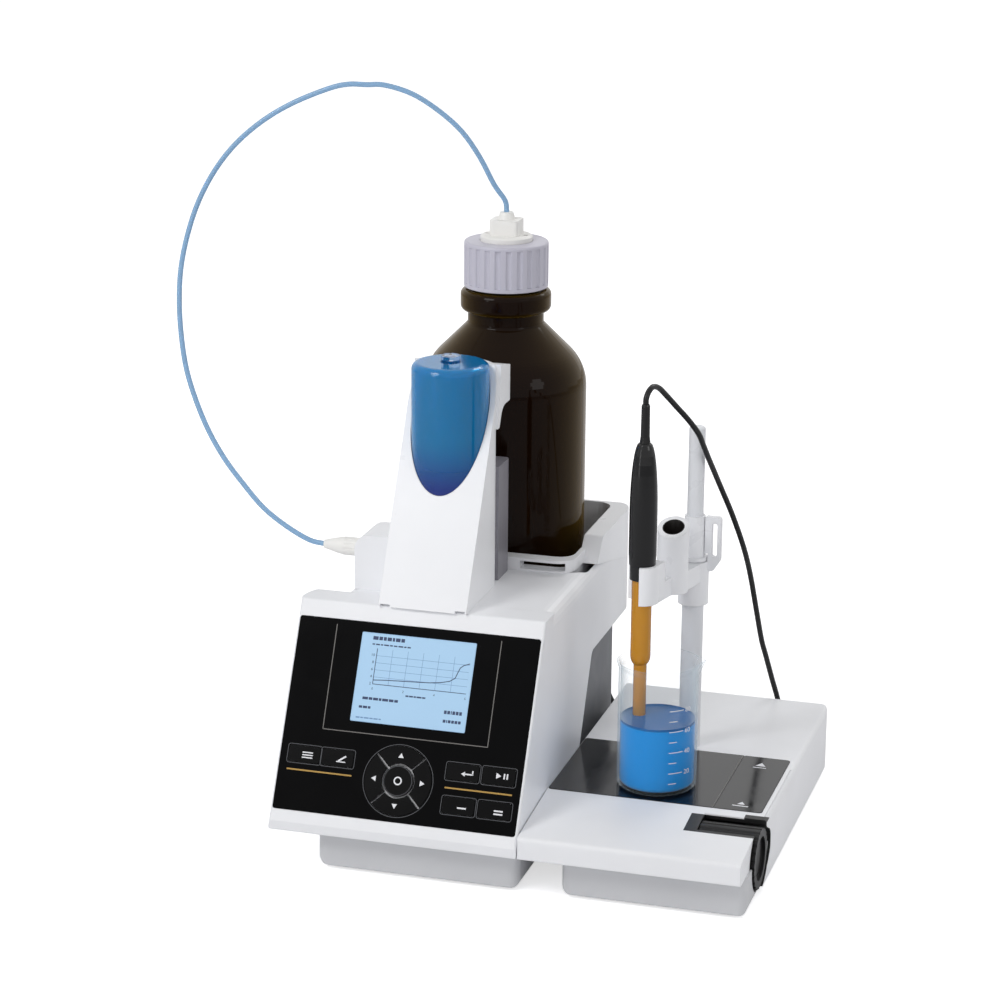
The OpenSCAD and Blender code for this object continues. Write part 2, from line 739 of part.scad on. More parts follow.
// Insert in the bottle's mouth: flange under the cap's top, plug, and the hose connector
module cap_adapter() {
    color("#f5f5f3") translate([bottle.x, bottle.y, 0]) difference() {
        union() {
            rotate_extrude() polygon([[0, mouth_z - 10], [15.8, mouth_z - 10], [15.8, mouth_z],
                [19.4, mouth_z], [19.4, cap_top - 3], [16.1, cap_top - 3],
                [16.1, cap_top + 2.5], [15, cap_top + 3.5], [0, cap_top + 3.5]]);
            upright(cap_top + 3, cap_top + 13) outline(box_pts([-9, 9], [-8, 8], 2));
            translate([0, 0, cap_top + 12]) cylinder(r1 = 6, r2 = 4, h = adapter_top - cap_top - 12);
        }
        translate([0, 0, mouth_z - 11]) cylinder(r = hose_r, h = 17);
        for (x = [-12.2, 12.2]) translate([x, 0, mouth_z - 11]) cylinder(r = 1.5, h = 40);
    }
}

module dip_tube() {
    color("#e8eef2") ring(bottle, 0.9, hose_r - 0.02, bottle_z + 12, mouth_z + 6);
}

// ---- stirrer -------------------------------------------------------------------

module stirrer_plan(inset = 0) {
    outline([[0.6 + inset, inset, 1], [stirrer_w - inset, inset, 4],
        [stirrer_w - inset, stirrer_d - inset, 13 - inset], [0.6 + inset, stirrer_d - inset, 2]]);
}

// Round pocket of the roller with its slot, the shaft's bearing and the finger scoop
module roller_room() {
    along_x(roller_x[0] - 0.6, stirrer_w + 5) {
        translate(roller) circle(r = pocket_r);
        translate([roller_slot[0], roller.y + 12]) square([roller_slot[1] - roller_slot[0], 20]);
    }
    along_x(roller_x[0] - 12, roller_x[0]) translate(roller) circle(r = 3 + THIN);
    along_x(stirrer_w - 13, stirrer_w + 5) outline([[roller.x - 4, roller.y - 10, 3],
        [roller.x + 16, roller.y - 11.5, 7], [roller.x + 25, roller.y - 3, 8],
        [roller.x + 24, roller.y + 9, 8], [roller.x + 8, roller.y + 17, 4]]);
}

// Solid block that holds the roller, kept out of the hollows round it
module roller_block() {
    translate([roller_x[0] - 5, -1, 0]) cube([stirrer_w, roller.x + 37, stirrer_h]);
}

module stirrer_housing() {
    apron = 1.6;
    front_h = stirrer_h - 5.5;
    roof = stirrer_h - wall;
    color("#eceef2") difference() {
        union() {
            intersection() {
                along_x(0, stirrer_w) outline([[0, body_z, 1], [0, front_h, 3],
                    [plate_y[0], stirrer_h, 0], [stirrer_d, stirrer_h, 4], [stirrer_d, body_z, 1]]);
                upright(0, stirrer_h) stirrer_plan();
                along_y(0, stirrer_d) outline([[0, 0, 0], [stirrer_w, 0, 0], [stirrer_w, stirrer_h, 3],
                    [0, stirrer_h, 1]]);
            }
            intersection() {
                along_x(stirrer_w - apron, stirrer_w) outline([[2, body_z + 4, 0], [6, body_z - 4, 3],
                    [38, 4, 12], [stirrer_d - 8, 4, 8], [stirrer_d - 8, body_z + 4, 0]]);
                upright(0, stirrer_h) stirrer_plan();
            }
        }
        difference() {
            intersection() {
                upright(body_z + wall, roof) stirrer_plan(wall);
                along_x(0, stirrer_w) polygon([[0, body_z], [0, front_h - wall], [plate_y[0], roof],
                    [stirrer_d, roof], [stirrer_d, body_z]]);
            }
            roller_block();
            pillar(rod, 9, 0, 60);
        }
        translate([0, 0, stirrer_h - plate_t]) linear_extrude(5)
            outline(box_pts([plate_x[0] - 0.2, plate_x[1] + 0.2], [plate_y[0] - 0.2, plate_y[1] + 0.2], 2));
        translate([stirrer_w - 2.4, 58, stirrer_h - 0.8]) cube([1, 80, 2]);
        roller_room();
        translate([stirrer_w - notch_w, -1, 0]) cube([notch_w + 1, roller.x + 1, stirrer_h + 1]);
        pillar(rod, 4 + THIN, body_z - 1, stirrer_h + 1);
        pillar(magnet, 3.2, body_z - 1, body_z + wall + 1);
    }
}

module stirrer_skirt() {
    color("#a7a8ad") difference() {
        intersection() {
            along_y(skirt_y[0], skirt_y[1]) outline([[skirt_x[0], foot_h, 6], [skirt_x[1], foot_h, 3],
                [skirt_x[1], body_z, 0], [skirt_x[0], body_z, 0]]);
            upright(0, body_z) outline(box_pts(skirt_x, skirt_y, 5));
        }
        difference() {
            upright(foot_h + wall, body_z + 1)
                outline(box_pts([skirt_x[0] + wall, skirt_x[1] - wall], [skirt_y[0] + wall, skirt_y[1] - wall], 4));
            roller_block();
        }
        roller_room();
    }
}

module stirrer_plate() {
    color("#1b1c20") difference() {
        upright(stirrer_h - plate_t, plate_top) outline(box_pts(plate_x, plate_y, 2));
        translate([divider_x, plate_y[0] - 1, stirrer_h]) cube([0.8, plate_y[1] - plate_y[0] + 2, 1]);
    }
}

// Ribbed speed roller with its shaft
module speed_roller() {
    ribs = 24;
    color("#1f1f23") translate([roller_x[0], roller.x, roller.y]) rotate([0, 90, 0]) difference() {
        union() {
            cylinder(r = roller_r, h = roller_x[1] - roller_x[0]);
            translate([0, 0, -10]) cylinder(r = 3, h = 11);
        }
        for (i = [0 : ribs - 1]) rotate([0, 0, 360 * i / ribs]) translate([roller_r + 0.5, 0, -1])
            cylinder(r = 1.2, h = roller_x[1] - roller_x[0] + 2);
        translate([0, 0, roller_x[1] - roller_x[0] - 2]) cylinder(r = roller_r - 5, h = 3);
    }
}

module stirrer_motor() {
    color("#4a4c52") pillar(magnet, 14, foot_h + wall, body_z);
}

module drive_magnet() {
    color("#7d7f86") {
        pillar(magnet, 2.5, body_z + 0.3, 31);
        pillar(magnet, 22, 30, 34);
        for (x = [-13, 13]) pillar(magnet + [x, 0], 6, 34, 38);
    }
}

module stand_rod() {
    color("#d7d9dc") {
        pillar(rod, 4, body_z + 2, stirrer_h);
        pillar(rod, spacer_r, stirrer_h, spacer_z);
        translate([rod.x, rod.y, spacer_z]) cylinder(r = rod_r, h = rod_top - spacer_z - 1);
        translate([rod.x, rod.y, rod_top - 1]) cylinder(r1 = rod_r, r2 = rod_r - 1, h = 1);
    }
}

module clamp_bush() {
    color("#f4f5f6") difference() {
        union() {
            pillar(rod, bush_r, bush_z[0], bush_z[1]);
            pillar(rod, 8, hub_z[1] + 0.3, hub_z[1] + 2.6);
        }
        pillar(rod, rod_r + THIN, bush_z[0] - 1, bush_z[1] + 1);
    }
}

// Bar between two upright axes
module bar(a, b, w, z0, z1) {
    d = b - a;
    translate([a.x, a.y, z0]) rotate([0, 0, atan2(d.y, d.x)]) translate([0, -w / 2, 0])
        cube([norm(d), w, z1 - z0]);
}

// Electrode clamp: hub on the bush, grip tab, spare socket and an open spring clip
module clamp_body() {
    mouth = 215;
    to_rod = unit(rod - electrode);
    color("#f4f5f6") difference() {
        union() {
            pillar(rod, hub_r, hub_z[0], hub_z[1]);
            bar(rod, electrode, 8, arm_z[0], arm_z[1] - 7);
            bar(rod, socket, 15, arm_z[0], hub_z[1]);
            pillar(socket, 9.4, arm_z[0], socket_top);
            pillar(electrode, 10, clip_z[0], clip_z[1]);
            bar(electrode + 3 * to_rod, electrode + 12.5 * to_rod, 17, clip_z[0] + 0.6, clip_z[1] - 0.6);
            translate([rod.x + 6, rod.y - 2, 157]) cube([4, 4, 5]);
            along_y(rod.y - 2, rod.y + 2) outline([[rod.x + 8.6, 156, 0], [rod.x + 12, 156, 3],
                [rod.x + 16.5, 163, 3], [rod.x + 16.5, bush_z[1], 2], [rod.x + bush_r + GAP, bush_z[1], 1],
                [rod.x + bush_r + GAP, hub_z[1] + 5, 1], [rod.x + 8.6, hub_z[1] + 5, 0]]);
        }
        pillar(rod, bush_r + THIN, hub_z[0] - 1, hub_z[1] + 1);
        pillar(socket, socket_r, arm_z[0] - 1, socket_top + 1);
        pillar(electrode, clip_r, arm_z[0] - 1, clip_z[1] + 1);
        translate([electrode.x, electrode.y, clip_z[0] - 1]) linear_extrude(40)
            polygon([[0, 0], 20 * [cos(mouth - 58), sin(mouth - 58)], 22 * [cos(mouth), sin(mouth)],
                20 * [cos(mouth + 58), sin(mouth + 58)]]);
        translate([socket.x, socket.y + 9.4, socket_top]) rotate([23, 0, 0])
            translate([-15, -40, 0]) cube([30, 40, 20]);
        along_y(rod.y - 5, rod.y + 5) outline(box_pts([rod.x + 11, rod.x + 14.2], [165, 186], 1.4));
    }
}

// ---- electrode and beaker ------------------------------------------------------

module electrode_head() {
    z0 = clip_z[1];
    n = 8;
    color("#141417") translate([electrode.x, electrode.y, 0]) rotate_extrude() polygon(concat(
        [[0, z0 - 9], [collar_r, z0 - 9], [collar_r, z0], [head_r - 0.4, z0], [head_r, z0 + 6], [head_r, z0 + 32]],
        [for (i = [1 : n]) let(a = 90 * i / n)
            [3.4 + (head_r - 3.4) * cos(a), z0 + 32 + (head_top - z0 - 32) * sin(a)]],
        [[0, head_top]]));
}

module electrode_shaft() {
    z1 = clip_z[1] - 9;
    step = tip_z + 40;
    n = 6;
    color([0.75, 0.5, 0.12, 0.7]) translate([electrode.x, electrode.y, 0]) rotate_extrude() polygon(concat(
        [[0, z1], [shaft_r, z1], [shaft_r, step + 6]],
        [for (i = [1 : n]) let(a = 90 * i / n) [2.7 + (shaft_r - 2.7) * cos(a), step + 6 - 6 * sin(a)]],
        [[2.7, tip_z + 5]],
        [for (i = [1 : n]) let(a = 90 * i / n) [3.2 * cos(a), tip_z + 3.2 - 3.2 * sin(a)]]));
}

module strain_relief() {
    color("#1b1b1e") translate([electrode.x, electrode.y, 0]) rotate_extrude()
        polygon([[0, head_top], [3.2, head_top], [2.7, head_top + 4], [2.5, relief_top - 1],
            [2.1, relief_top], [0, relief_top]]);
}

module beaker() {
    spout_r = 7;
    spout_out = [cos(20), sin(20)] * (beaker_r - 3);
    lip = beaker_h - 4;
    color([0.85, 0.95, 1, 0.3]) translate([magnet.x, magnet.y, beaker_z]) difference() {
        union() {
            rotate_extrude() outline([[0, 0, 0], [beaker_r, 0, 3], [beaker_r, lip, 2],
                [beaker_r + 1.6, beaker_h, 0.5], [0, beaker_h, 0]]);
            translate([spout_out.x, spout_out.y, lip - 6]) cylinder(r1 = 3, r2 = spout_r, h = 10);
        }
        rotate_extrude() outline([[0, beaker_t + 0.4, 0], [beaker_r - beaker_t, beaker_t + 0.4, 2.4],
            [beaker_r - beaker_t, lip, 2], [beaker_r + 0.4, beaker_h + 1, 0], [0, beaker_h + 1, 0]]);
        translate([spout_out.x, spout_out.y, lip - 4]) cylinder(r1 = 2, r2 = spout_r - 0.6, h = 8.5);
    }
}

module stir_bar() {
    color("#f4f4f2") translate([magnet.x, magnet.y, beaker_z + beaker_t + 4.3]) {
        rotate([0, 90, 0]) rotate_extrude() outline([[0, -12.5, 0], [3.2, -12.5, 2.6], [3.2, 12.5, 2.6], [0, 12.5, 0]]);
        rotate([0, 90, 0]) cylinder(r = 3.8, h = 3, center = true);
    }
}

// ---- cords ---------------------------------------------------------------------

module cable_upper() { color("#18181a") tube(arch_points, cable_r); }

module cable_lower() {
    color("#18181a") {
        tube(drop_points, cable_r);
        tube(tail_points, cable_r);
    }
}

module cable_coil() {
    color("#18181a") translate([coil_c.x, coil_c.y, 0]) rotate_extrude()
        translate([coil_r - coil_w / 2, 0.1]) square([coil_w, coil_h]);
}

// Plug on the end of the cable, pushed into the electrode socket
module cable_plug() {
    color("#1d1d20") translate([electrode_at.x, chassis_d + 21, electrode_at.y]) rotate([90, 0, 0])
        rotate_extrude() polygon([[0, 0], [2.4, 0], [3.2, 4], [6, 6], [6, 15], [4.9, 15],
            [4.9, 23], [0, 23]]);
}

module hose_lower() { color([0.6, 0.76, 0.9, 0.8]) tube(hose_low_points, hose_r); }
module hose_upper() { color([0.6, 0.76, 0.9, 0.8]) tube(hose_up_points, hose_r); }

place() {
    front_panel();
    keypad_film();
    display_module();
    housing();
    lower_chassis();
    base_tray();
    feet();
    link_bracket();
    main_board();
    piston_motor();
    valve_motor();
    rear_sockets();
    power_switch();
    key_up();
    key_down();
    key_left();
    key_right();
    key_ok();
    key_l1();
    key_l2();
    key_r1();
    key_r2();
    key_r3();
    key_r4();
    drive_spindle();
    drive_pushrod();
    valve_coupling();
    dosing_tower();
    rear_cover();
    bottle_holder();
    glass_cylinder();
    valve_body();
    hose_fitting();
    valve_rotor();
    uv_cover();
    piston();
    reagent_bottle();
    cap_adapter();
    dip_tube();
    bottle_cap();
    hose_lower();
    hose_upper();
    stirrer_housing();
    stirrer_skirt();
    stirrer_plate();
    speed_roller();
    stirrer_motor();
    drive_magnet();
    stand_rod();
    clamp_bush();
    clamp_body();
    electrode_head();
    electrode_shaft();
    strain_relief();
    cable_upper();
    cable_lower();
    cable_coil();
    cable_plug();
    beaker();
    stir_bar();
}
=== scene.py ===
# %% [markdown]
# # An automatic titrator, dressed for the camera
#
# The instrument doses a reagent into a beaker until a reaction is complete. A base unit with
# a sloping keypad carries a tower with a glass burette, a brown reagent bottle stands behind
# it, and a magnetic stirrer with a rod, a clamp, an electrode and a beaker stands beside it.
# The solid model already holds every piece at its real size. This lesson gives the surfaces
# their finish and adds what is printed, poured, bent or blown.

import math

import bpy
from mathutils import Matrix, Vector


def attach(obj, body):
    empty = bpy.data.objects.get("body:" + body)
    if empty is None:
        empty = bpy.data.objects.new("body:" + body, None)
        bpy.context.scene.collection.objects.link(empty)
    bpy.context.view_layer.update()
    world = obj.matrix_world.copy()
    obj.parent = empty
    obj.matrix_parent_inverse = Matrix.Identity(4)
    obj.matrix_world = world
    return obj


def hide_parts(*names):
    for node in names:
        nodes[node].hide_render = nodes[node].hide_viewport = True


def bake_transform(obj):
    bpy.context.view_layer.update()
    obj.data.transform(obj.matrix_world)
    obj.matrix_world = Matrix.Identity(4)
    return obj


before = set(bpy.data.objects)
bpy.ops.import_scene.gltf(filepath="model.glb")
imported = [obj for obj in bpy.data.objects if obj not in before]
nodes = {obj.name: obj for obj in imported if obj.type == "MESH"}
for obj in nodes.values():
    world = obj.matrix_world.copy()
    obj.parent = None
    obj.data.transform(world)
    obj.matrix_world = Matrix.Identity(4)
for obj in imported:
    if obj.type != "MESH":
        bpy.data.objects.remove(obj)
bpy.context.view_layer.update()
print("pieces in the frame:", len(nodes))

# %% [markdown]
# ## Working in millimetres from a corner of the instrument
#
# The solid model was drawn from the joint between the two units and the front edge, and then
# centred over its footprint. Two small functions turn such places into Blender's metres: one
# for upright places, one for places on the sloping panel, where s runs up the slope and h
# stands out of the face.

# %% Places
SHIFT = Vector((8.5, -134.0, 0.0))
MM = 0.001
TILT = math.radians(27)
PANEL_FOOT = 30.0


def at(x, y, z):
    return (Vector((x, y, z)) + SHIFT) * MM


def on_panel(x, s, h=0.0):
    y = s * math.sin(TILT) - h * math.cos(TILT)
    z = PANEL_FOOT + s * math.cos(TILT) + h * math.sin(TILT)
    return at(x, y, z)


PANEL_TURN = (math.radians(90) - TILT, 0.0, 0.0)
PANEL_OUT = Vector((0.0, -math.cos(TILT), math.sin(TILT)))
print("panel foot at", tuple(round(v, 4) for v in on_panel(0, 0)))

# %% [markdown]
# ## The camera
#
# The camera stands to the right of the middle and a little above, with a long lens, so the
# upright edges stay nearly parallel. Its three axes are worked out from two angles and a
# small roll, as a photographer would note them.

# %% The camera
AZIMUTH, ELEVATION, ROLL = (math.radians(a) for a in (16.2956, 16.3677, 0.4792))
AIM = at(-40.317, 100.0, 206.84)
DISTANCE = 1.767
SENSOR = 36.0
LENS = 107.99

back = Vector((math.sin(AZIMUTH) * math.cos(ELEVATION),
               -math.cos(AZIMUTH) * math.cos(ELEVATION), math.sin(ELEVATION)))
side = Vector((math.cos(AZIMUTH), math.sin(AZIMUTH), 0.0))
rise = back.cross(side)
x_axis = side * math.cos(ROLL) + rise * math.sin(ROLL)
y_axis = rise * math.cos(ROLL) - side * math.sin(ROLL)

bpy.ops.object.camera_add()
camera = bpy.context.object
camera.matrix_world = (Matrix.Translation(AIM + back * DISTANCE)
                       @ Matrix((x_axis, y_axis, back)).transposed().to_4x4())
camera.data.sensor_width = SENSOR
camera.data.lens = LENS
camera.data.clip_end = 20
bpy.context.scene.camera = camera
print("camera at", tuple(round(v, 3) for v in camera.location))

# %% [markdown]
# ## Colours and nodes
#
# Colours are written as they look on a screen and turned to linear values in one place. One
# small function adds a shader node with its settings and its links, so that each finish
# below can be read as a short recipe.


# %% Colour and node helpers
def colour(code, alpha=1.0):
    channels = [int(code[i:i + 2], 16) / 255 for i in (1, 3, 5)]
    linear = [c / 12.92 if c <= 0.04045 else ((c + 0.055) / 1.055) ** 2.4 for c in channels]
    return (*linear, alpha)


def add(tree, kind, inputs=None, **settings):
    made = tree.nodes.new(kind)
    for name, value in settings.items():
        setattr(made, name, value)
    for socket, value in (inputs or {}).items():
        if isinstance(value, bpy.types.NodeSocket):
            tree.links.new(value, made.inputs[socket])
        else:
            made.inputs[socket].default_value = value
    return made


def recipe(name, **values):
    material = bpy.data.materials.new(name)
    material.use_nodes = True
    tree = material.node_tree
    shader = tree.nodes["Principled BSDF"]
    for socket, value in values.items():
        shader.inputs[socket.replace("_", " ")].default_value = value
    return material, tree, shader


def join_up(tree, output, shader, socket):
    tree.links.new(output, shader.inputs[socket])


def maths(tree, operation, *values):
    return add(tree, "ShaderNodeMath", dict(enumerate(values)), operation=operation).outputs[0]


# %% [markdown]
# ## Moulded plastics
#
# The housings are injection-moulded ABS from a spark-eroded tool. The tool leaves a fine,
# even grain of a few tenths of a millimetre that breaks up the highlights, and every edge of
# the mould is slightly rounded. The grain is a noise bump, and a Bevel node rounds the edges
# for the light without more geometry. A slow noise shifts the tone by one or two per cent, as
# on any large moulding, and a third one lets faint hand marks change the gloss.


# %% Moulded plastic
NOISE_RANGE = {"From Min": 0.3, "From Max": 0.7}
SCALE_FOR_MM = 500


def moulded(name, code, rough=0.42, grain_mm=0.5, grain=0.06, edge_mm=0.5, mottle=0.02,
            marks=0.05, **more):
    material, tree, shader = recipe(name, Base_Color=colour(code), Roughness=rough,
                                    IOR=1.52, Coat_Roughness=0.1, **more)
    place = add(tree, "ShaderNodeTexCoord").outputs["Object"]
    fine = add(tree, "ShaderNodeTexNoise", {"Vector": place, "Scale": SCALE_FOR_MM / grain_mm,
                                            "Detail": 2.0, "Roughness": 0.6})
    wide = add(tree, "ShaderNodeTexNoise", {"Vector": place, "Scale": 18.0, "Detail": 3.0})
    hands = add(tree, "ShaderNodeTexNoise", {"Vector": place, "Scale": 45.0, "Detail": 5.0,
                                             "Distortion": 0.8})
    value = add(tree, "ShaderNodeMapRange", {"Value": wide.outputs["Fac"], **NOISE_RANGE,
                                             "To Min": 1 - mottle, "To Max": 1 + mottle})
    tone = add(tree, "ShaderNodeHueSaturation", {"Color": colour(code),
                                                 "Value": value.outputs["Result"]})
    join_up(tree, tone.outputs["Color"], shader, "Base Color")
    gloss = add(tree, "ShaderNodeMapRange", {"Value": hands.outputs["Fac"], **NOISE_RANGE,
                                             "To Min": rough - marks, "To Max": rough + marks})
    join_up(tree, gloss.outputs["Result"], shader, "Roughness")
    rounded = add(tree, "ShaderNodeBevel", {"Radius": edge_mm * MM}, samples=4)
    bump = add(tree, "ShaderNodeBump", {"Height": fine.outputs["Fac"], "Strength": grain,
                                        "Distance": 0.1 * MM, "Normal": rounded.outputs["Normal"]})
    join_up(tree, bump.outputs["Normal"], shader, "Normal")
    return material


white_abs = moulded("ABS, moulded white", "#f1f2f5")
white_satin = moulded("ABS, satin white", "#f4f5f8", rough=0.32, grain=0.03)
# The stirrer's white also carries painted shade in its roller pocket, set further down.
white_stirrer_painted_shade = moulded("ABS, moulded white, stirrer", "#f1f2f5")
grey_abs = moulded("ABS, moulded light grey", "#cfd0d3", edge_mm=0.8)
# Painted shade: the lower chassis, recessed under the overhang, is coloured dark grey for the shade
# it lies in.
dark_abs_and_painted_shade = moulded("ABS, moulded dark grey", "#686a6f", rough=0.5)
# Painted shade: the rear cover behind the tower is coloured grey for the shade it stands in.
spine_grey_painted_shade = moulded("ABS, warm grey cover", "#8a8890", rough=0.35)
black_abs = moulded("ABS, moulded black", "#111113", rough=0.4, Specular_IOR_Level=0.3)
key_film = moulded("embossed polyester keys, black", "#050506", rough=0.24, grain=0.01,
                   edge_mm=0.3, Specular_IOR_Level=0.08)
film_black = moulded("polyester keypad film, black", "#040405", rough=0.18, grain_mm=0.8,
                     grain=0.004, edge_mm=0.1, mottle=0.03, marks=0.03, Specular_IOR_Level=0.05)
foot_rubber = moulded("moulded rubber feet", "#232325", rough=0.75)
cap_pp = moulded("polypropylene cap, light grey", "#c3c1ce", rough=0.36, grain=0.02, edge_mm=0.4)
ptfe_white = moulded("turned PTFE, white", "#f2f1ee", rough=0.45, grain=0.03)
clamp_pom = moulded("acetal clamp, white", "#f4f5f8", rough=0.3, grain=0.02)
head_gloss = moulded("electrode head, glossy black ABS", "#070709", rough=0.14, grain=0.01,
                     Specular_IOR_Level=0.35)
cable_jacket = moulded("soft PVC cable jacket, black", "#08080a", rough=0.34, grain=0.03,
                       edge_mm=0.05, Specular_IOR_Level=0.3)
plate_gloss = moulded("lacquered stirring plate, black", "#0a0b10", rough=0.14, grain=0.004,
                      edge_mm=0.2, mottle=0.06, Specular_IOR_Level=0.4)
roller_rubber = moulded("ribbed roller, black", "#09090b", rough=0.42, Specular_IOR_Level=0.3)
board_green = moulded("circuit board lacquer, green", "#1d5a35", rough=0.35)
nut_pom = moulded("slide bearing plastic", "#d8d0b4", rough=0.5)
print("moulded finishes made")

# %% [markdown]
# ## Painted shade in the speed roller's well
#
# The roller turns in a pocket that lies in deep shade. Its walls get painted shade, a near-black
# colour, so that the ribs read as one dark band. The pocket belongs to the white moulding. A mask
# on Object coordinates tells its walls from the outside: what lies nearer to an axis than a
# radius, over a span of that axis, gets the painted shade, and the outer faces keep the white.
# The dark opening of the clamp's spare socket is painted shade done the same way.


# %% Painted shade on the walls of a round hole
def near_axis(tree, place, axis_point, flatten, radius):
    flat = add(tree, "ShaderNodeVectorMath", {0: place, 1: flatten}, operation="MULTIPLY")
    centre = tuple(a * b for a, b in zip(axis_point, flatten))
    gap = add(tree, "ShaderNodeVectorMath", {0: flat.outputs[0], 1: centre}, operation="DISTANCE")
    return maths(tree, "LESS_THAN", gap.outputs["Value"], radius * MM)


def beyond(tree, place, axis, low, high):
    value = add(tree, "ShaderNodeSeparateXYZ", {0: place}).outputs[axis]
    above = maths(tree, "GREATER_THAN", value, low)
    below = maths(tree, "LESS_THAN", value, high)
    return maths(tree, "MULTIPLY", above, below)


def darkened(material, holes, code):
    """Paint shade on the walls of round holes, each by axis point, flattening, radius and span."""
    tree = material.node_tree
    shader = tree.nodes["Principled BSDF"]
    place = add(tree, "ShaderNodeTexCoord").outputs["Object"]
    mask = None
    for axis_point, flatten, radius, axis, low, high in holes:
        part = maths(tree, "MULTIPLY", near_axis(tree, place, axis_point, flatten, radius),
                     beyond(tree, place, axis, low, high))
        mask = part if mask is None else maths(tree, "MAXIMUM", mask, part)
    before = shader.inputs["Base Color"].links[0].from_socket
    blend = add(tree, "ShaderNodeMix", {"Factor": mask}, data_type="RGBA")
    tree.links.new(before, blend.inputs[6])
    blend.inputs[7].default_value = colour(code)
    join_up(tree, blend.outputs[2], shader, "Base Color")


ALONG_X, UPRIGHT = (0, 1, 1), (1, 1, 0)
INSIDE_WALL = at(133.85, 0, 0).x
ROLLER_POCKET = (at(0, 46, 23), ALONG_X, 21.5, "X", at(90, 0, 0).x, INSIDE_WALL)
FINGER_SCOOP = (at(0, 56, 26), ALONG_X, 17.5, "X", at(120.6, 0, 0).x, INSIDE_WALL)
# Painted shade: the walls of the roller's pocket and finger scoop are coloured near-black for the
# shade in them.
darkened(white_stirrer_painted_shade, [ROLLER_POCKET, FINGER_SCOOP], "#070708")
print("pocket darkened")

# %% [markdown]
# ## Metals
#
# The rod is steel tube with a light powder coat, and the contacts and the hidden shafts are
# bare. Bare metal keeps metallic at 1 and gets its look from roughness alone, stretched by
# noise along the turning marks.


# %% Metals
def turned(name, code, rough=0.3, metallic=1.0, mark_mm=0.2):
    material, tree, shader = recipe(name, Base_Color=colour(code), Roughness=rough,
                                    Metallic=metallic)
    place = add(tree, "ShaderNodeTexCoord").outputs["Object"]
    turn = add(tree, "ShaderNodeMapping", {"Vector": place,
                                           "Scale": (40.0, 40.0, SCALE_FOR_MM / mark_mm)})
    marks = add(tree, "ShaderNodeTexNoise", {"Vector": turn.outputs["Vector"], "Scale": 1.0})
    gloss = add(tree, "ShaderNodeMapRange", {"Value": marks.outputs["Fac"], "To Min": rough * 0.7,
                                             "To Max": rough * 1.4})
    join_up(tree, gloss.outputs["Result"], shader, "Roughness")
    return material


steel_turned = turned("turned steel", "#c4c6c9")
brass_contact = turned("nickelled brass contacts", "#c9c2a8", rough=0.22)
rod_coat = moulded("powder-coated steel rod, white", "#e8eaee", rough=0.3, grain_mm=0.3,
                   edge_mm=0.3)
motor_paint = moulded("painted motor housing", "#3b3d42", rough=0.4)

# %% [markdown]
# ## Glass, liquids and tinted plastic
#
# Clear borosilicate glass has an IOR of 1.47 and is seen mostly by its edges. The bottle is
# dark amber glass, almost black where two walls and the reagent lie behind each other. Where
# the wall is seen edge on, light runs along it and looks olive; that olive is painted light.
# The cover round the burette is clear plastic with a strong blue dye that keeps light off the
# reagent. Its lower end lies in the tower's shade, painted as violet towards the foot.


# %% Clear and tinted materials
def clear(name, code, ior, rough=0.0, transmission=1.0, **more):
    material, tree, shader = recipe(name, Base_Color=colour(code), IOR=ior, Roughness=rough,
                                    Transmission_Weight=transmission, **more)
    return material


# Painted light and shade: the colour shifts from inner to outer as a face turns edge on.
def rim_tint(material, inner, outer, power):
    tree = material.node_tree
    shader = tree.nodes["Principled BSDF"]
    facing = add(tree, "ShaderNodeLayerWeight", {"Blend": 0.5}).outputs["Facing"]
    rim = add(tree, "ShaderNodeMath", {0: facing, 1: power}, operation="POWER").outputs[0]
    blend = add(tree, "ShaderNodeMix", {"Factor": rim}, data_type="RGBA")
    blend.inputs["A"].default_value = colour(inner)
    blend.inputs["B"].default_value = colour(outer)
    join_up(tree, blend.outputs["Result"], shader, "Base Color")


# Painted shade by height: the colour runs from one value to another over a span of heights.
def fade(material, low_z, high_z, low_code, high_code):
    tree = material.node_tree
    shader = tree.nodes["Principled BSDF"]
    place = add(tree, "ShaderNodeTexCoord").outputs["Object"]
    height = add(tree, "ShaderNodeSeparateXYZ", {0: place}).outputs["Z"]
    part = add(tree, "ShaderNodeMapRange", {"Value": height, "From Min": low_z * MM,
                                            "From Max": high_z * MM},
               interpolation_type="SMOOTHSTEP")
    blend = add(tree, "ShaderNodeMix", {"Factor": part.outputs["Result"]}, data_type="RGBA")
    blend.inputs["A"].default_value = colour(low_code)
    blend.inputs["B"].default_value = colour(high_code)
    join_up(tree, blend.outputs["Result"], shader, "Base Color")


beaker_glass, tree, shader = recipe("borosilicate glass, clear", Base_Color=colour("#cfe0ea"),
                                    IOR=1.47, Roughness=0.03, Specular_IOR_Level=0.8)
facing = add(tree, "ShaderNodeLayerWeight", {"Blend": 0.5}).outputs["Facing"]
edge = maths(tree, "POWER", facing, 3.0)
body = add(tree, "ShaderNodeMapRange", {"Value": edge, "To Min": 0.045, "To Max": 0.85})
join_up(tree, body.outputs["Result"], shader, "Alpha")
tube_glass = clear("burette glass, clear", "#e8f4ff", 1.47)
amber_glass = moulded("soda glass, dark amber", "#100905", rough=0.06, grain=0.0, edge_mm=0.3,
                      marks=0.02, Specular_IOR_Level=0.08)
# Painted light: the olive rim stands for light running along the bottle's glass wall.
rim_tint(amber_glass, "#160903", "#6e5618", 2.2)
blue_dye_painted_shade = clear("acrylic, dyed blue", "#0f86dc", 1.49, rough=0.1, transmission=0.62,
                 Specular_IOR_Level=0.3)
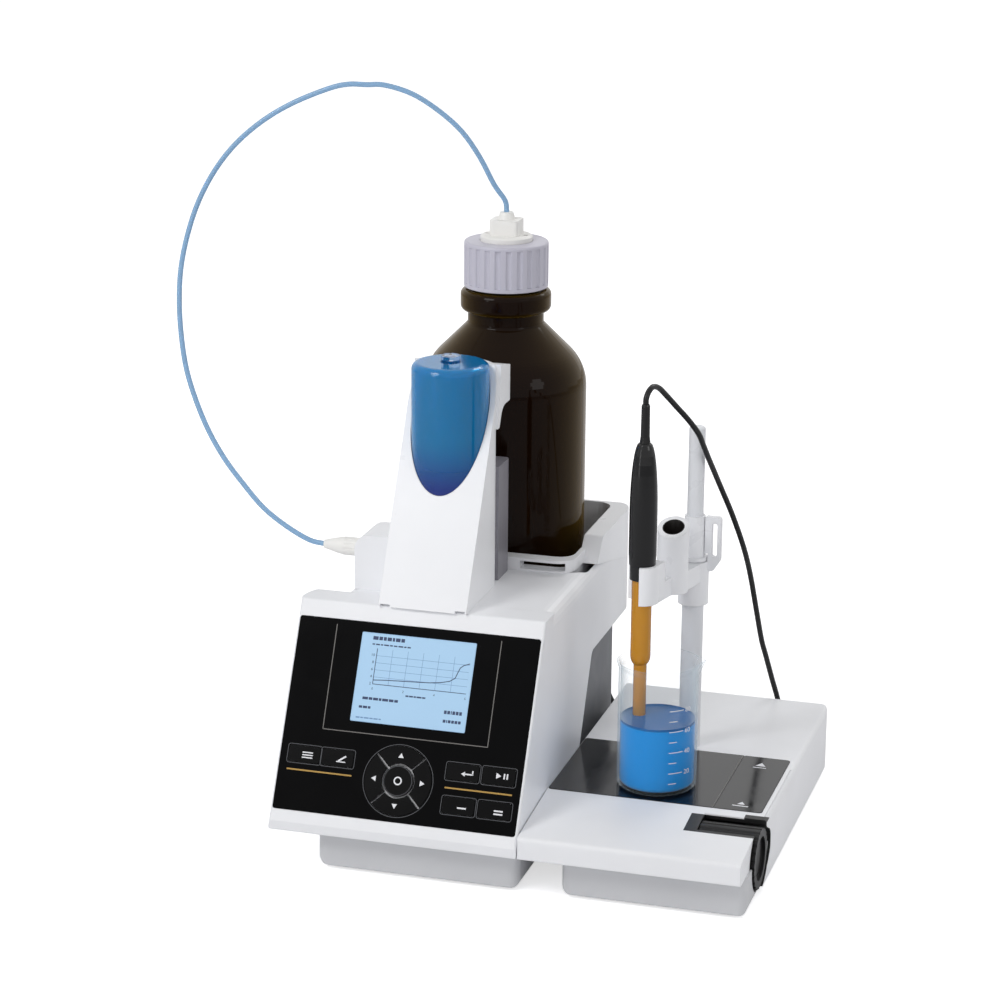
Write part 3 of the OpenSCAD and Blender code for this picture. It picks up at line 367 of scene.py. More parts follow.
# Painted shade: the cover runs from violet at its foot to cyan at mid-height, for the tower's shade
# on its lower end.
COVER_FOOT, COVER_MIDDLE = 203, 246
fade(blue_dye_painted_shade, COVER_FOOT, COVER_MIDDLE, "#2430b0", "#12a4e4")
hose_fep = clear("FEP tubing, bluish", "#9cc3e6", 1.34, rough=0.22, transmission=0.3)
shaft_glass = clear("electrode glass over amber gel", "#e39a1a", 1.47, rough=0.05, transmission=0.3,
                    Specular_IOR_Level=0.5)
# Painted shade: the shaft's amber darkens to brown towards its edges.
rim_tint(shaft_glass, "#e8a01c", "#7a4208", 2.5)
sample_blue = clear("copper-blue sample", "#0088d8", 1.333, rough=0.04, transmission=0.05,
                    Specular_IOR_Level=0.2)
# Painted shade: the sample turns darker blue at its surface and meniscus, above 83.2 mm.
fade(sample_blue, 83.2, 84.0, "#0096e8", "#0a62a8")
# Painted shade: the inside of the clamp's spare socket is coloured dark for the shade in the hole.
SPARE_SOCKET = (at(57, 134, 0), UPRIGHT, 6.6, "Z", 0.151, 0.193)
darkened(clamp_pom, [SPARE_SOCKET], "#1a1716")
print("clear finishes made")

# %% [markdown]
# ## Display and print
#
# The display is a reflective panel with a weak blue backlight. Its ground is a fine grid of
# picture elements of 0.22 mm, which shows as a slight unevenness of tone and not as single
# dots. Printing inks are flat and matt: a thin raised ink film for the lines of the keypad,
# and dark blue for the picture on the display.

# %% Display and inks
display_lit, tree, shader = recipe("backlit display", Base_Color=colour("#9dc0dd"), Roughness=0.22,
                                   Emission_Color=colour("#a9cbe8"), Emission_Strength=0.22)
place = add(tree, "ShaderNodeTexCoord").outputs["Object"]
cells = add(tree, "ShaderNodeTexNoise", {"Vector": place, "Scale": 1000 / 0.22, "Detail": 0.0})
tone = add(tree, "ShaderNodeMapRange", {"Value": cells.outputs["Fac"], "To Min": 0.96,
                                        "To Max": 1.04})
ground = add(tree, "ShaderNodeHueSaturation", {"Color": colour("#9dc0dd"),
                                               "Value": tone.outputs["Result"]})
join_up(tree, ground.outputs["Color"], shader, "Base Color")


def ink(name, code, rough=0.5, glow=0.0):
    material, tree, shader = recipe(name, Base_Color=colour(code), Roughness=rough,
                                    Emission_Color=colour(code), Emission_Strength=glow)
    place = add(tree, "ShaderNodeTexCoord").outputs["Object"]
    screen = add(tree, "ShaderNodeTexNoise", {"Vector": place, "Scale": 2500.0, "Detail": 1.0})
    tone = add(tree, "ShaderNodeMapRange", {"Value": screen.outputs["Fac"], "To Min": 0.92,
                                            "To Max": 1.08})
    laid = add(tree, "ShaderNodeHueSaturation", {"Color": colour(code),
                                                 "Value": tone.outputs["Result"]})
    join_up(tree, laid.outputs["Color"], shader, "Base Color")
    return material


ink_dark = ink("display elements, dark blue", "#23355c")
ink_pale = ink("display elements, half tone", "#6f93bd")
ink_grey = ink("screen ink, dark grey", "#3c3d42")
ink_white = ink("screen ink, white", "#e9eaee")
ink_ochre = ink("screen ink, ochre", "#b08a3c")
ink_shade = ink("scratch-proof ink, grey", "#65625f")
print("inks made")

# %% Finishes on the solid model's own pieces
FINISHES = {
    white_abs: ["front_panel", "housing"],
    white_stirrer_painted_shade: ["stirrer_housing"],
    white_satin: ["dosing_tower", "bottle_holder", "valve_body"],
    grey_abs: ["base_tray", "stirrer_skirt"],
    # The lower chassis's dark grey is painted shade.
    dark_abs_and_painted_shade: ["lower_chassis", "link_bracket"],
    # The rear cover's grey is painted shade.
    spine_grey_painted_shade: ["rear_cover"],
    black_abs: ["rear_sockets", "power_switch"],
    film_black: ["keypad_film"],
    foot_rubber: ["feet"],
    cap_pp: ["bottle_cap"],
    ptfe_white: ["cap_adapter", "hose_fitting", "valve_rotor", "piston", "dip_tube", "stir_bar"],
    clamp_pom: ["clamp_bush", "clamp_body"],
    head_gloss: ["electrode_head", "strain_relief", "cable_plug"],
    plate_gloss: ["stirrer_plate"],
    roller_rubber: ["speed_roller"],
    board_green: ["main_board"],
    nut_pom: ["drive_pushrod"],
    steel_turned: ["drive_spindle", "valve_coupling", "drive_magnet"],
    rod_coat: ["stand_rod"],
    motor_paint: ["piston_motor", "valve_motor", "stirrer_motor"],
    beaker_glass: ["beaker"],
    tube_glass: ["glass_cylinder"],
    amber_glass: ["reagent_bottle"],
    blue_dye_painted_shade: ["uv_cover"],
    shaft_glass: ["electrode_shaft"],
    display_lit: ["display_module"],
    key_film: [name for name in nodes if name.startswith("key_")],
}


def dress(name, material):
    data = nodes[name].data
    data.materials.clear()
    data.materials.append(material)


for finish, names in FINISHES.items():
    for name in names:
        dress(name, finish)
print("dressed", sum(len(names) for names in FINISHES.values()), "pieces")

# %% [markdown]
# ## The suction hose
#
# A stiff fluoropolymer hose of 3.2 mm leaves the valve, rises in a wide loop and comes down
# into the bottle's cap. It is one tube swept along listed points. A spline through
# those points gives the path, and a round bevel gives the wall.


# %% Tube helper
def smooth_path(points, steps=4):
    points = [Vector(p) for p in points]
    ends = [points[0] * 2 - points[1]] + points + [points[-1] * 2 - points[-2]]
    path = []
    for a, b, c, d in zip(ends, ends[1:], ends[2:], ends[3:]):
        for i in range(steps):
            t = i / steps
            path.append(0.5 * (2 * b + (c - a) * t + (2 * a - 5 * b + 4 * c - d) * t * t
                               + (3 * b - 3 * c + d - a) * t ** 3))
    return path + [points[-1]]


def tube(name, path, radius, material, sides=4):
    curve = bpy.data.curves.new(name, "CURVE")
    curve.dimensions = "3D"
    curve.bevel_depth = radius
    curve.bevel_resolution = sides
    curve.use_fill_caps = True
    spline = curve.splines.new("POLY")
    spline.points.add(len(path) - 1)
    for point, place in zip(spline.points, path):
        point.co = (*place, 1.0)
    piece = bpy.data.objects.new(name, curve)
    bpy.context.collection.objects.link(piece)
    bpy.ops.object.select_all(action="DESELECT")
    bpy.context.view_layer.objects.active = piece
    piece.select_set(True)
    bpy.ops.object.convert(target="MESH")
    piece = bpy.context.object
    bpy.ops.object.shade_smooth()
    piece.data.materials.append(material)
    return piece


def length_of(path):
    return sum((b - a).length for a, b in zip(path, path[1:]))


# %% The hose
HOSE_POINTS = [
    (-150, 100, 169.5), (-160, 100, 171), (-175, 101, 178), (-190, 102, 188), (-204, 105, 201),
    (-217, 109, 214), (-229, 114, 229), (-239, 119, 246), (-247, 124, 264), (-252, 129, 283),
    (-255, 134, 303), (-256, 140, 323), (-254, 147, 343), (-249, 154, 363), (-240, 160, 382),
    (-228, 165, 398), (-212, 169, 412), (-194, 173, 423), (-173, 177, 432), (-161, 179, 435),
    (-150, 181, 435), (-139, 183, 435), (-123, 187, 430), (-108, 192, 420), (-95, 198, 407),
    (-85, 203, 391), (-77, 207, 374), (-71, 210.5, 364), (-70, 211, 357),
]
hose_path = smooth_path([at(*p) for p in HOSE_POINTS])
hose = tube("suction_hose", hose_path, 1.6 * MM, hose_fep)
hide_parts("hose_lower", "hose_upper")
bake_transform(hose)
print("hose length", round(length_of(hose_path), 3), "m")

# %% [markdown]
# ## The electrode's cable
#
# The thin coaxial cable arches over the clamp and falls behind the stirrer, where the rest
# of its length lies in a small coil before it runs to the socket on the base unit. The arch
# hangs between parts that move. It is cut into three tubes that meet end to end; none of
# them is attached to a part.

# %% The cable
CABLE_R = 1.7 * MM
ARCH_POINTS = [
    (47.5, 96.5, 273), (47.5, 97, 276.5), (48.3, 100, 280), (49.5, 105, 281.5), (51.5, 111, 279.5),
    (54.5, 118, 273.5), (59, 126, 265), (64.5, 133, 256), (69, 141, 246), (70.5, 148, 237.5),
    (72, 157, 227), (73.5, 166, 217), (76, 176, 204), (81, 188, 184), (86, 201, 160),
    (88, 215, 138), (90, 228, 111), (91.5, 240, 88), (93, 246, 77), (94.5, 252, 66),
]
DROP_POINTS = [
    (94.5, 252, 66), (96, 258, 55), (98, 266, 41), (99.5, 271, 29), (100.5, 275, 17),
    (101, 281, 7.5), (101, 288, 3), (100.5, 296, 1.8), (100.5, 305, 1.8),
]
TAIL_POINTS = [
    (59, 305, 5.3), (59, 298, 4.2), (55.5, 292.5, 2.4), (46, 289.5, 1.8), (30, 289, 1.8),
    (12, 292, 1.8), (-4, 296, 3), (-15, 299, 8), (-22, 301, 17), (-26, 302, 29),
    (-28, 301, 41), (-29.5, 298, 51), (-30, 292, 58), (-30, 285.5, 60), (-30, 279, 60),
]
COIL_CENTRE = (79.7, 305)
TURNS = 3.5
OUTER, INNER = 20.8, 17.2
LOW, HIGH = 1.8, 5.3
POINTS_A_TURN = 24


def eased(t):
    t = min(max(t, 0.0), 1.0)
    return t * t * (3 - 2 * t)


def coil_point(turn):
    inward = eased((turn - 0.8) / 0.2) - eased((turn - 2.8) / 0.2)
    radius = OUTER + (INNER - OUTER) * inward
    height = LOW + (HIGH - LOW) * eased((turn - 1.8) / 0.2)
    angle = turn * math.tau
    return (COIL_CENTRE[0] + radius * math.cos(angle),
            COIL_CENTRE[1] + radius * math.sin(angle), height)


coil_points = [coil_point(i / POINTS_A_TURN) for i in range(1, int(TURNS * POINTS_A_TURN))]
arch = [at(*p) for p in ARCH_POINTS]
whole = smooth_path(arch + [at(*p) for p in DROP_POINTS[1:] + coil_points + TAIL_POINTS])
TOP_END, MIDDLE_END = 4 * 7, 4 * 14
first = whole[:TOP_END + 1]
second = whole[TOP_END:MIDDLE_END + 1]
third = whole[MIDDLE_END:]

cable_top = tube("electrode_cable_top", first, CABLE_R, cable_jacket)
cable_middle = tube("electrode_cable_middle", second, CABLE_R, cable_jacket)
cable_rest = tube("electrode_cable_rest", third, CABLE_R, cable_jacket)
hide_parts("cable_upper")
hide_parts("cable_lower", "cable_coil")
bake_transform(cable_top)
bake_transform(cable_middle)
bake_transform(cable_rest)
print("cable", [round(length_of(p), 3) for p in (first, second, third)])

# %% [markdown]
# ## Working by hand, in code
#
# New pieces start from a primitive of the right size at the right place, are shaped in edit
# mode, and have their place applied, so that each finished object sits at the origin like the
# pieces of the solid model. Three helpers do what every piece needs: start with nothing
# selected, pick faces by a rule, and finish.


# %% Modelling helpers
def start():
    if bpy.context.object and bpy.context.object.mode != "OBJECT":
        bpy.ops.object.mode_set(mode="OBJECT")
    bpy.ops.object.select_all(action="DESELECT")


def pick(rule):
    """Select the faces whose centre and normal pass a rule, in edit mode."""
    bpy.ops.object.mode_set(mode="OBJECT")
    piece = bpy.context.object
    for group in (piece.data.vertices, piece.data.edges, piece.data.polygons):
        for item in group:
            item.select = False
    for face in piece.data.polygons:
        face.select = rule(piece.matrix_world @ face.center, face.normal)
    bpy.ops.object.mode_set(mode="EDIT")


def finish(name, material, body, slot, smooth=None):
    if bpy.context.object.mode != "OBJECT":
        bpy.ops.object.mode_set(mode="OBJECT")
    piece = bpy.context.object
    bpy.ops.object.transform_apply(location=True, rotation=True, scale=True)
    if smooth is not None:
        bpy.ops.object.shade_smooth_by_angle(angle=math.radians(smooth))
    piece.name = piece.data.name = name
    piece.data.materials.clear()
    piece.data.materials.append(material)
    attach(piece, body)
    return piece


def join_pieces(pieces):
    start()
    for piece in pieces:
        piece.select_set(True)
    bpy.context.view_layer.objects.active = pieces[0]
    bpy.ops.object.join()
    return bpy.context.object


# %% [markdown]
# ## Lines and frames of ink
#
# The keypad's lines are laid down as ink films of a few hundredths of a millimetre. A frame
# starts as a flat rectangle or disc: its corners are bevelled, the face is inset by the width
# of the line, the inside is deleted, and what is left is extruded by the film's thickness.

# %% Ink shapes on the panel
INK = 0.06
CORNER_STEPS = 5


def raised(direction, thick=INK):
    bpy.ops.mesh.select_all(action="SELECT")
    bpy.ops.mesh.extrude_region_move(TRANSFORM_OT_translate={"value": direction * thick * MM})
    bpy.ops.mesh.select_all(action="SELECT")
    bpy.ops.mesh.normals_make_consistent(inside=False)
    bpy.ops.object.mode_set(mode="OBJECT")


def frame_line(place, turn, out, size, line, corner=1.2, round_sides=0):
    start()
    if round_sides:
        bpy.ops.mesh.primitive_circle_add(vertices=round_sides, radius=size[0] * MM,
                                          fill_type="NGON", location=place, rotation=turn)
        bpy.ops.object.mode_set(mode="EDIT")
    else:
        bpy.ops.mesh.primitive_plane_add(size=1, location=place, rotation=turn)
        bpy.context.object.scale = (size[0] * MM, size[1] * MM, 1)
        bpy.ops.object.transform_apply(location=False, rotation=False, scale=True)
        bpy.ops.object.mode_set(mode="EDIT")
        bpy.ops.mesh.select_all(action="SELECT")
        bpy.ops.mesh.bevel(offset=corner * MM, segments=CORNER_STEPS, affect="VERTICES")
    bpy.ops.mesh.select_all(action="SELECT")
    bpy.ops.mesh.inset(thickness=line * MM)
    bpy.ops.mesh.delete(type="FACE")
    raised(out)
    return bpy.context.object


def on_slope(turn):
    return (Matrix.Rotation(PANEL_TURN[0], 4, "X") @ Matrix.Rotation(turn, 4, "Z")).to_euler()


def dab(x, s, w, h, lift, thick=INK, turn=0.0):
    """A small flat bar of ink on the panel."""
    start()
    bpy.ops.mesh.primitive_plane_add(size=1, location=on_panel(x, s, lift))
    piece = bpy.context.object
    piece.scale = (w * MM, h * MM, 1)
    piece.rotation_euler = on_slope(turn)
    bpy.ops.object.transform_apply(location=False, rotation=True, scale=True)
    bpy.ops.object.mode_set(mode="EDIT")
    raised(PANEL_OUT, thick)
    return bpy.context.object


def arrow(x, s, size, turn, lift):
    """A triangle of ink whose tip points up the slope when turn is 0."""
    start()
    bpy.ops.mesh.primitive_circle_add(vertices=3, radius=size * MM, fill_type="NGON",
                                      location=on_panel(x, s, lift))
    piece = bpy.context.object
    piece.rotation_euler = on_slope(turn)
    bpy.ops.object.transform_apply(location=False, rotation=True, scale=True)
    bpy.ops.object.mode_set(mode="EDIT")
    raised(PANEL_OUT)
    return bpy.context.object


# %% Lines of the keypad
FILM_S = 7.0
DISPLAY = (-74.8, 89.5)
PAD = (-75.5, 31.2)
KEY_TOP = 0.4
KEY_ROWS = (FILM_S + 33.4, FILM_S + 13.8)
KEYS = {"key_l1": (-134.4, KEY_ROWS[0]), "key_l2": (-113.8, KEY_ROWS[0]),
        "key_r1": (-37.4, KEY_ROWS[0]), "key_r2": (-15.6, KEY_ROWS[0]),
        "key_r3": (-37.4, KEY_ROWS[1]), "key_r4": (-15.6, KEY_ROWS[1])}
KEY_W, KEY_H = 19.4, 9.6

RIM = 1.9
rings = [frame_line(on_panel(x, s), PANEL_TURN, PANEL_OUT, (KEY_W + RIM, KEY_H + RIM), 0.4, 1.6)
         for x, s in KEYS.values()]
rings.append(frame_line(on_panel(*PAD), PANEL_TURN, PANEL_OUT, (21.4,), 0.4, round_sides=72))
join_pieces(rings)
finish("key_outlines", ink_grey, "root", "film_black")

U_TOP, U_FOOT = FILM_S + 111.5, FILM_S + 49.5
U_LINE = [(-126, U_TOP), (-125.5, U_FOOT), (-24.8, U_FOOT), (-25, U_TOP)]
LINE_W = 0.55
strokes = []
for (x0, s0), (x1, s1) in zip(U_LINE, U_LINE[1:]):
    length = math.hypot(x1 - x0, s1 - s0) + LINE_W
    strokes.append(dab((x0 + x1) / 2, (s0 + s1) / 2, length, LINE_W, 0.0,
                       turn=math.atan2(s1 - s0, x1 - x0)))
join_pieces(strokes)
finish("display_surround_line", ink_shade, "root", "film_black")

join_pieces([dab(-124, FILM_S + 24, 40, 0.9, 0.0), dab(-26.8, FILM_S + 23.7, 40.5, 0.9, 0.0)])
finish("ochre_lines", ink_ochre, "root", "film_black")
print("lines of the keypad laid")

# %% [markdown]
# ## Symbols on the keys
#
# A key's symbol is printed on the key, so it goes down with it. The pad has an arrow on each
# side and a ring on the round key. The soft keys have plain symbols: a list, a pencil stroke,
# a return arrow, a play and pause pair, and one or two bars.

# %% Key symbols
ARROW_REACH = 14.4
for name, turn, dx, ds in (("key_up", 0, 0, 1), ("key_left", 90, -1, 0),
                           ("key_down", 180, 0, -1), ("key_right", 270, 1, 0)):
    arrow(PAD[0] + dx * ARROW_REACH, PAD[1] + ds * ARROW_REACH, 1.9, math.radians(turn), KEY_TOP)
    finish(name + "_arrow", ink_white, name, "key_black")
frame_line(on_panel(*PAD, KEY_TOP), PANEL_TURN, PANEL_OUT, (8.7,), 0.35, round_sides=48)
finish("key_ok_ring", ink_grey, "key_ok", "key_black")
frame_line(on_panel(*PAD, KEY_TOP), PANEL_TURN, PANEL_OUT, (2.5,), 0.8, round_sides=32)
finish("key_ok_symbol", ink_white, "key_ok", "key_black")


def symbol(name, strokes, triangles=()):
    x, s = KEYS[name]
    pieces = [dab(x + dx, s + ds, w, h, KEY_TOP, turn=math.radians(turn))
              for dx, ds, w, h, turn in strokes]
    pieces += [arrow(x + dx, s + ds, size, math.radians(turn), KEY_TOP)
               for dx, ds, size, turn in triangles]
    join_pieces(pieces)
    finish(name + "_symbol", ink_white, name, "key_black")


symbol("key_l1", [(2, 1.1, 6.5, 0.7, 0), (2, -0.4, 6.5, 0.7, 0), (2, -1.9, 6.5, 0.7, 0)])
symbol("key_l2", [(2.8, -0.2, 5.6, 1.0, 35), (2.2, -2.1, 5.6, 0.6, 0)])
symbol("key_r1", [(3.6, -0.8, 5.2, 0.8, 0), (6.0, 0.2, 0.8, 2.6, 0)], [(0.7, -0.8, 1.6, 90)])
symbol("key_r2", [(3.2, 0.4, 0.9, 3.2, 0), (5.0, 0.4, 0.9, 3.2, 0)], [(-0.6, 0.4, 2.0, 270)])
symbol("key_r3", [(2.2, -1.0, 5.4, 0.9, 0)])
symbol("key_r4", [(2.4, -0.2, 5.4, 0.9, 0), (2.4, -2.0, 5.4, 0.9, 0)])
print("symbols printed")

# %% [markdown]
# ## The picture on the display
#
# The display shows a titration curve with its grid and axis numbers, a dark heading and two
# fields of numbers. Each row of small characters is a row of short blocks, which is all that
# the eye sees from here. The curve is a string of short strokes, flat at first and steep at
# the end point.

# %% The picture
GLASS = -0.29
PICTURE_W, PICTURE_H = 70.1, 52.6


def spot(u, v):
    """Panel place of a fraction of the display, u from the left and v from the top."""
    return DISPLAY[0] + (u - 0.5) * PICTURE_W, DISPLAY[1] + (0.5 - v) * PICTURE_H


def words(u, v, widths, height, gap=0.7):
    x, s = spot(u, v)
    row = []
    for width in widths:
        row.append(dab(x + width / 2, s, width, height, GLASS, 0.03))
        x += width + gap
    return row


dark = words(0.10, 0.055, [3.2, 2.2, 1.8, 2.6, 1.4, 2.8, 2.2], 2.1, 0.55)
dark += words(0.10, 0.125, [1.6, 2.4, 1.4, 3.0, 1.8, 2.2, 3.0, 1.4, 2.0], 0.8, 0.6)
dark += words(0.08, 0.735, [3.4, 2.2, 3.0, 1.6, 3.6, 2.8, 2.2], 1.5, 0.5)
dark += words(0.06, 0.835, [2.0, 2.6, 1.6], 1.4, 0.45)
dark += words(0.80, 0.795, [1.6, 1.6, 0.6, 1.6, 1.6, 1.6], 2.0, 0.45)
dark += words(0.80, 0.895, [1.6, 0.6, 1.6, 1.6, 1.6, 1.6], 1.7, 0.45)
dark += words(0.45, 0.665, [1.8, 2.4, 1.4, 3.0, 2.0], 0.9, 0.4)
left, base = spot(0.15, 0.57)
right, top = spot(0.965, 0.17)
AXIS = 0.4
dark.append(dab(left, (base + top) / 2, AXIS, top - base, GLASS, 0.03))
dark.append(dab((left + right) / 2, base, right - left, AXIS, GLASS, 0.03))
CURVE = [(0.0, 0.11), (0.14, 0.14), (0.30, 0.16), (0.46, 0.18), (0.60, 0.20), (0.72, 0.24),
         (0.81, 0.30), (0.865, 0.40), (0.885, 0.56), (0.905, 0.70), (0.94, 0.78), (1.0, 0.84)]
for (a, b), (c, d) in zip(CURVE, CURVE[1:]):
    x0, s0 = left + a * (right - left), base + b * (top - base)
    x1, s1 = left + c * (right - left), base + d * (top - base)
    length = math.hypot(x1 - x0, s1 - s0) + 0.15
    dark.append(dab((x0 + x1) / 2, (s0 + s1) / 2, length, 0.5, GLASS, 0.035,
                    math.atan2(s1 - s0, x1 - x0)))
join_pieces(dark)
finish("display_picture", ink_dark, "root", "display")

GRID = 0.22
pale = []
for i in range(1, 5):
    pale.append(dab((left + right) / 2, base + i * (top - base) / 5, right - left, GRID, GLASS,
                    0.02))
for i in range(1, 6):
    pale.append(dab(left + i * (right - left) / 6, (base + top) / 2, GRID, top - base, GLASS,
                    0.02))
pale += words(0.045, 0.955, [2.4, 1.6, 3.0, 2.0, 2.6, 1.4], 0.8, 0.5)
join_pieces(pale)
finish("display_grid", ink_pale, "root", "display")


def number(text, u, v, size=2.3):
    x, s = spot(u, v)
    start()
    bpy.ops.object.text_add(location=on_panel(x, s, GLASS), rotation=PANEL_TURN)
    made = bpy.context.object
    made.data.body = text
    made.data.size = size * MM
    made.data.align_x = "RIGHT"
    made.data.extrude = 0.015 * MM
    made.data.resolution_u = 2
    bpy.ops.object.convert(target="MESH")
    return bpy.context.object


numbers = [number(str(value), 0.135, 0.58 - 0.08 * i) for i, value in enumerate((2, 4, 6, 8, 10))]
numbers += [number(str(value), 0.16 + 0.135 * value, 0.635, 2.0) for value in range(0, 7, 2)]
join_pieces(numbers)
finish("display_axis_numbers", ink_dark, "root", "display")
print("display drawn")

# %% [markdown]
# ## Print on the stirring plate
#
# To the right of a thin line of paler ink the plate carries two white marks, one behind the
# other. Each is a small triangle with a bar in front of it.

# %% Marks on the plate
PLATE_TOP = 43.3
UP = Vector((0, 0, 1))


def plate_arrow(x, y, size, turn):
    start()
    bpy.ops.mesh.primitive_circle_add(vertices=3, radius=size * MM, fill_type="NGON",
                                      location=at(x, y, PLATE_TOP))
    bpy.context.object.rotation_euler = (0, 0, math.radians(turn))
    bpy.ops.object.transform_apply(location=False, rotation=True, scale=False)
    bpy.ops.object.mode_set(mode="EDIT")
    raised(UP)
    return bpy.context.object


def plate_bar(x, y, w, d, turn=0.0):
    start()
    bpy.ops.mesh.primitive_plane_add(size=1, location=at(x, y, PLATE_TOP),
                                     rotation=(0, 0, math.radians(turn)))
    bpy.context.object.scale = (w * MM, d * MM, 1)
    bpy.ops.object.transform_apply(location=False, rotation=True, scale=True)
    bpy.ops.object.mode_set(mode="EDIT")
    raised(UP)
    return bpy.context.object


join_pieces([plate_arrow(113.5, 139, 3.6, 0), plate_bar(113.5, 134.6, 8.0, 1.0),
             plate_arrow(115, 75.5, 2.6, 0), plate_bar(115, 71.8, 9.5, 1.1)])
finish("plate_marks", ink_white, "root", "plate_black")
join_pieces([plate_bar(99.9, 108.5, 0.5, 86.4)])
finish("plate_divider_line", ink_shade, "root", "plate_black")
print("plate printed")

# %% [markdown]
# ## The sample in the beaker
#
# The beaker is filled to about half with a blue copper solution. The liquid is turned like the
# inside of the glass: a disc on the rounded floor, extruded upwards and widened into the
# wall. It climbs the glass by about a millimetre at its rim, so the top is inset twice and
# the middle pushed down.

# %% The sample
BEAKER = (60, 92)
BEAKER_FLOOR = PLATE_TOP + 1.8
BEAKER_IN = 22.2
SAMPLE_TOP = 84.0
FLOOR_ROUND = 2.4
FLOOR_R = BEAKER_IN - FLOOR_ROUND
WIDENING = 2.42
MENISCUS = 1.1


def lift(z, radius_scale=1.0):
    bpy.ops.mesh.extrude_region_move(TRANSFORM_OT_translate={"value": (0, 0, z * MM)})
    bpy.ops.transform.resize(value=(radius_scale, radius_scale, 1), center_override=at(*BEAKER, 0))


start()
bpy.ops.mesh.primitive_circle_add(vertices=96, radius=FLOOR_R * MM, fill_type="NGON",
                                  location=at(*BEAKER, BEAKER_FLOOR + 0.02))
bpy.ops.object.mode_set(mode="EDIT")
bpy.ops.mesh.select_all(action="SELECT")
radius = FLOOR_R
for angle in (30, 60, 90):
    wanted = FLOOR_R + WIDENING * math.sin(math.radians(angle))
    step = FLOOR_ROUND * (math.cos(math.radians(angle - 30)) - math.cos(math.radians(angle)))
    lift(step, wanted / radius)
    radius = wanted
lift(SAMPLE_TOP + MENISCUS - BEAKER_FLOOR - WIDENING)
for inset, drop in ((0.35, 0.55), (0.8, 0.35), (1.6, 0.17), (5.0, 0.03)):
    bpy.ops.mesh.inset(thickness=inset * MM)
    bpy.ops.transform.translate(value=(0, 0, -drop * MM))
bpy.ops.mesh.select_all(action="SELECT")
bpy.ops.mesh.normals_make_consistent(inside=False)
finish("sample", sample_blue, "beaker", "glass_clear", smooth=40)
print("sample poured")

# %% [markdown]
# ## Scale of the beaker
#
# The scale is burnt into the outside of the glass in white enamel: a long line with a number
# every 20 ml and a short one between. Each line is a slice of a cylinder a little wider than
# the glass. Its faces are kept over a few degrees only and given their thickness by Solidify.

# %% The scale
BEAKER_OUT = 23.6
ENAMEL = 0.05
SCALE_TURN = 300.0
ML_HEIGHT = 12.9


def scale_line(z, width_deg):
    start()
    bpy.ops.mesh.primitive_cylinder_add(vertices=180, radius=(BEAKER_OUT + 0.03) * MM,
                                        depth=0.45 * MM, end_fill_type="NOTHING",
                                        location=at(*BEAKER, z))
    centre = at(*BEAKER, z)

    def outside(place, normal):
        angle = math.degrees(math.atan2(place.y - centre.y, place.x - centre.x)) % 360
        return abs(angle - SCALE_TURN - width_deg / 2) > width_deg / 2

    pick(outside)
    bpy.ops.mesh.delete(type="FACE")
    bpy.ops.object.mode_set(mode="OBJECT")
    wall = bpy.context.object.modifiers.new("enamel", "SOLIDIFY")
    wall.thickness = ENAMEL * MM
    wall.offset = 1.0
    bpy.ops.object.modifier_apply(modifier=wall.name)
    return bpy.context.object


lines = [scale_line(BEAKER_FLOOR + ML_HEIGHT * i / 2, 22 if i % 2 == 0 else 12)
         for i in range(1, 10)]


def enamel_number(text, z):
    start()
    bpy.ops.object.text_add(location=(0, 0, 0), rotation=(math.radians(90), 0, 0))
    made = bpy.context.object
    made.data.body = text
    made.data.size = 4.2 * MM
    made.data.extrude = 0.03 * MM
    made.data.resolution_u = 3
    bpy.ops.object.convert(target="MESH")
    turn = math.radians(SCALE_TURN + 25)
    out = Vector((math.cos(turn), math.sin(turn), 0)) * (BEAKER_OUT + 0.06) * MM
    made = bpy.context.object
    made.rotation_euler = (math.radians(90), 0, turn + math.radians(90))
    made.location = at(*BEAKER, z - 1.5) + out
    bpy.ops.object.transform_apply(location=False, rotation=True, scale=False)
    return made


lines += [enamel_number(str(20 * i), BEAKER_FLOOR + ML_HEIGHT * i) for i in range(1, 5)]
join_pieces(lines)
finish("beaker_scale", ink_white, "beaker", "glass_clear")
print("scale burnt in")

# %% [markdown]
# ## Inside the electrode
#
# The electrode is a tube within a tube. A dark stem with the reference system runs down its
# middle and ends above the bulb, and a glass sleeve gives the lower shaft its width.

# %% Inner pieces
ELECTRODE = (47.5, 96.5)
stem_dark = moulded("reference element, brown", "#4a2a10", rough=0.4)


def stem(name, centre, profile, material, body, slot, sides=32):
    """A turned piece: a disc at the lowest ring, extruded ring by ring."""
    start()
    (radius, z) = profile[0]
    bpy.ops.mesh.primitive_circle_add(vertices=sides, radius=radius * MM, fill_type="NGON",
                                      location=at(*centre, z))
    bpy.ops.object.mode_set(mode="EDIT")
    bpy.ops.mesh.select_all(action="SELECT")
    for wanted, height in profile[1:]:
        bpy.ops.mesh.extrude_region_move(TRANSFORM_OT_translate={
            "value": (0, 0, (height - z) * MM)})
        bpy.ops.transform.resize(value=(wanted / radius, wanted / radius, 1),
                                 center_override=at(*centre, 0))
        radius, z = wanted, height
    bpy.ops.mesh.select_all(action="SELECT")
    bpy.ops.mesh.normals_make_consistent(inside=False)
    return finish(name, material, body, slot, smooth=40)


INNER_STEM = [(1.2, 96), (2.2, 99), (2.2, 122), (3.0, 124), (3.0, 167.5)]
OUTER_GLASS = [(2.9, 80), (3.7, 81.5), (3.9, 84), (3.9, 116), (4.6, 118.5), (5.6, 121)]
stem("reference_element", ELECTRODE, INNER_STEM, stem_dark, "electrode", "shaft_amber")
stem("electrode_sleeve", ELECTRODE, OUTER_GLASS, shaft_glass, "electrode", "shaft_amber",
     sides=48)
print("inner pieces made")

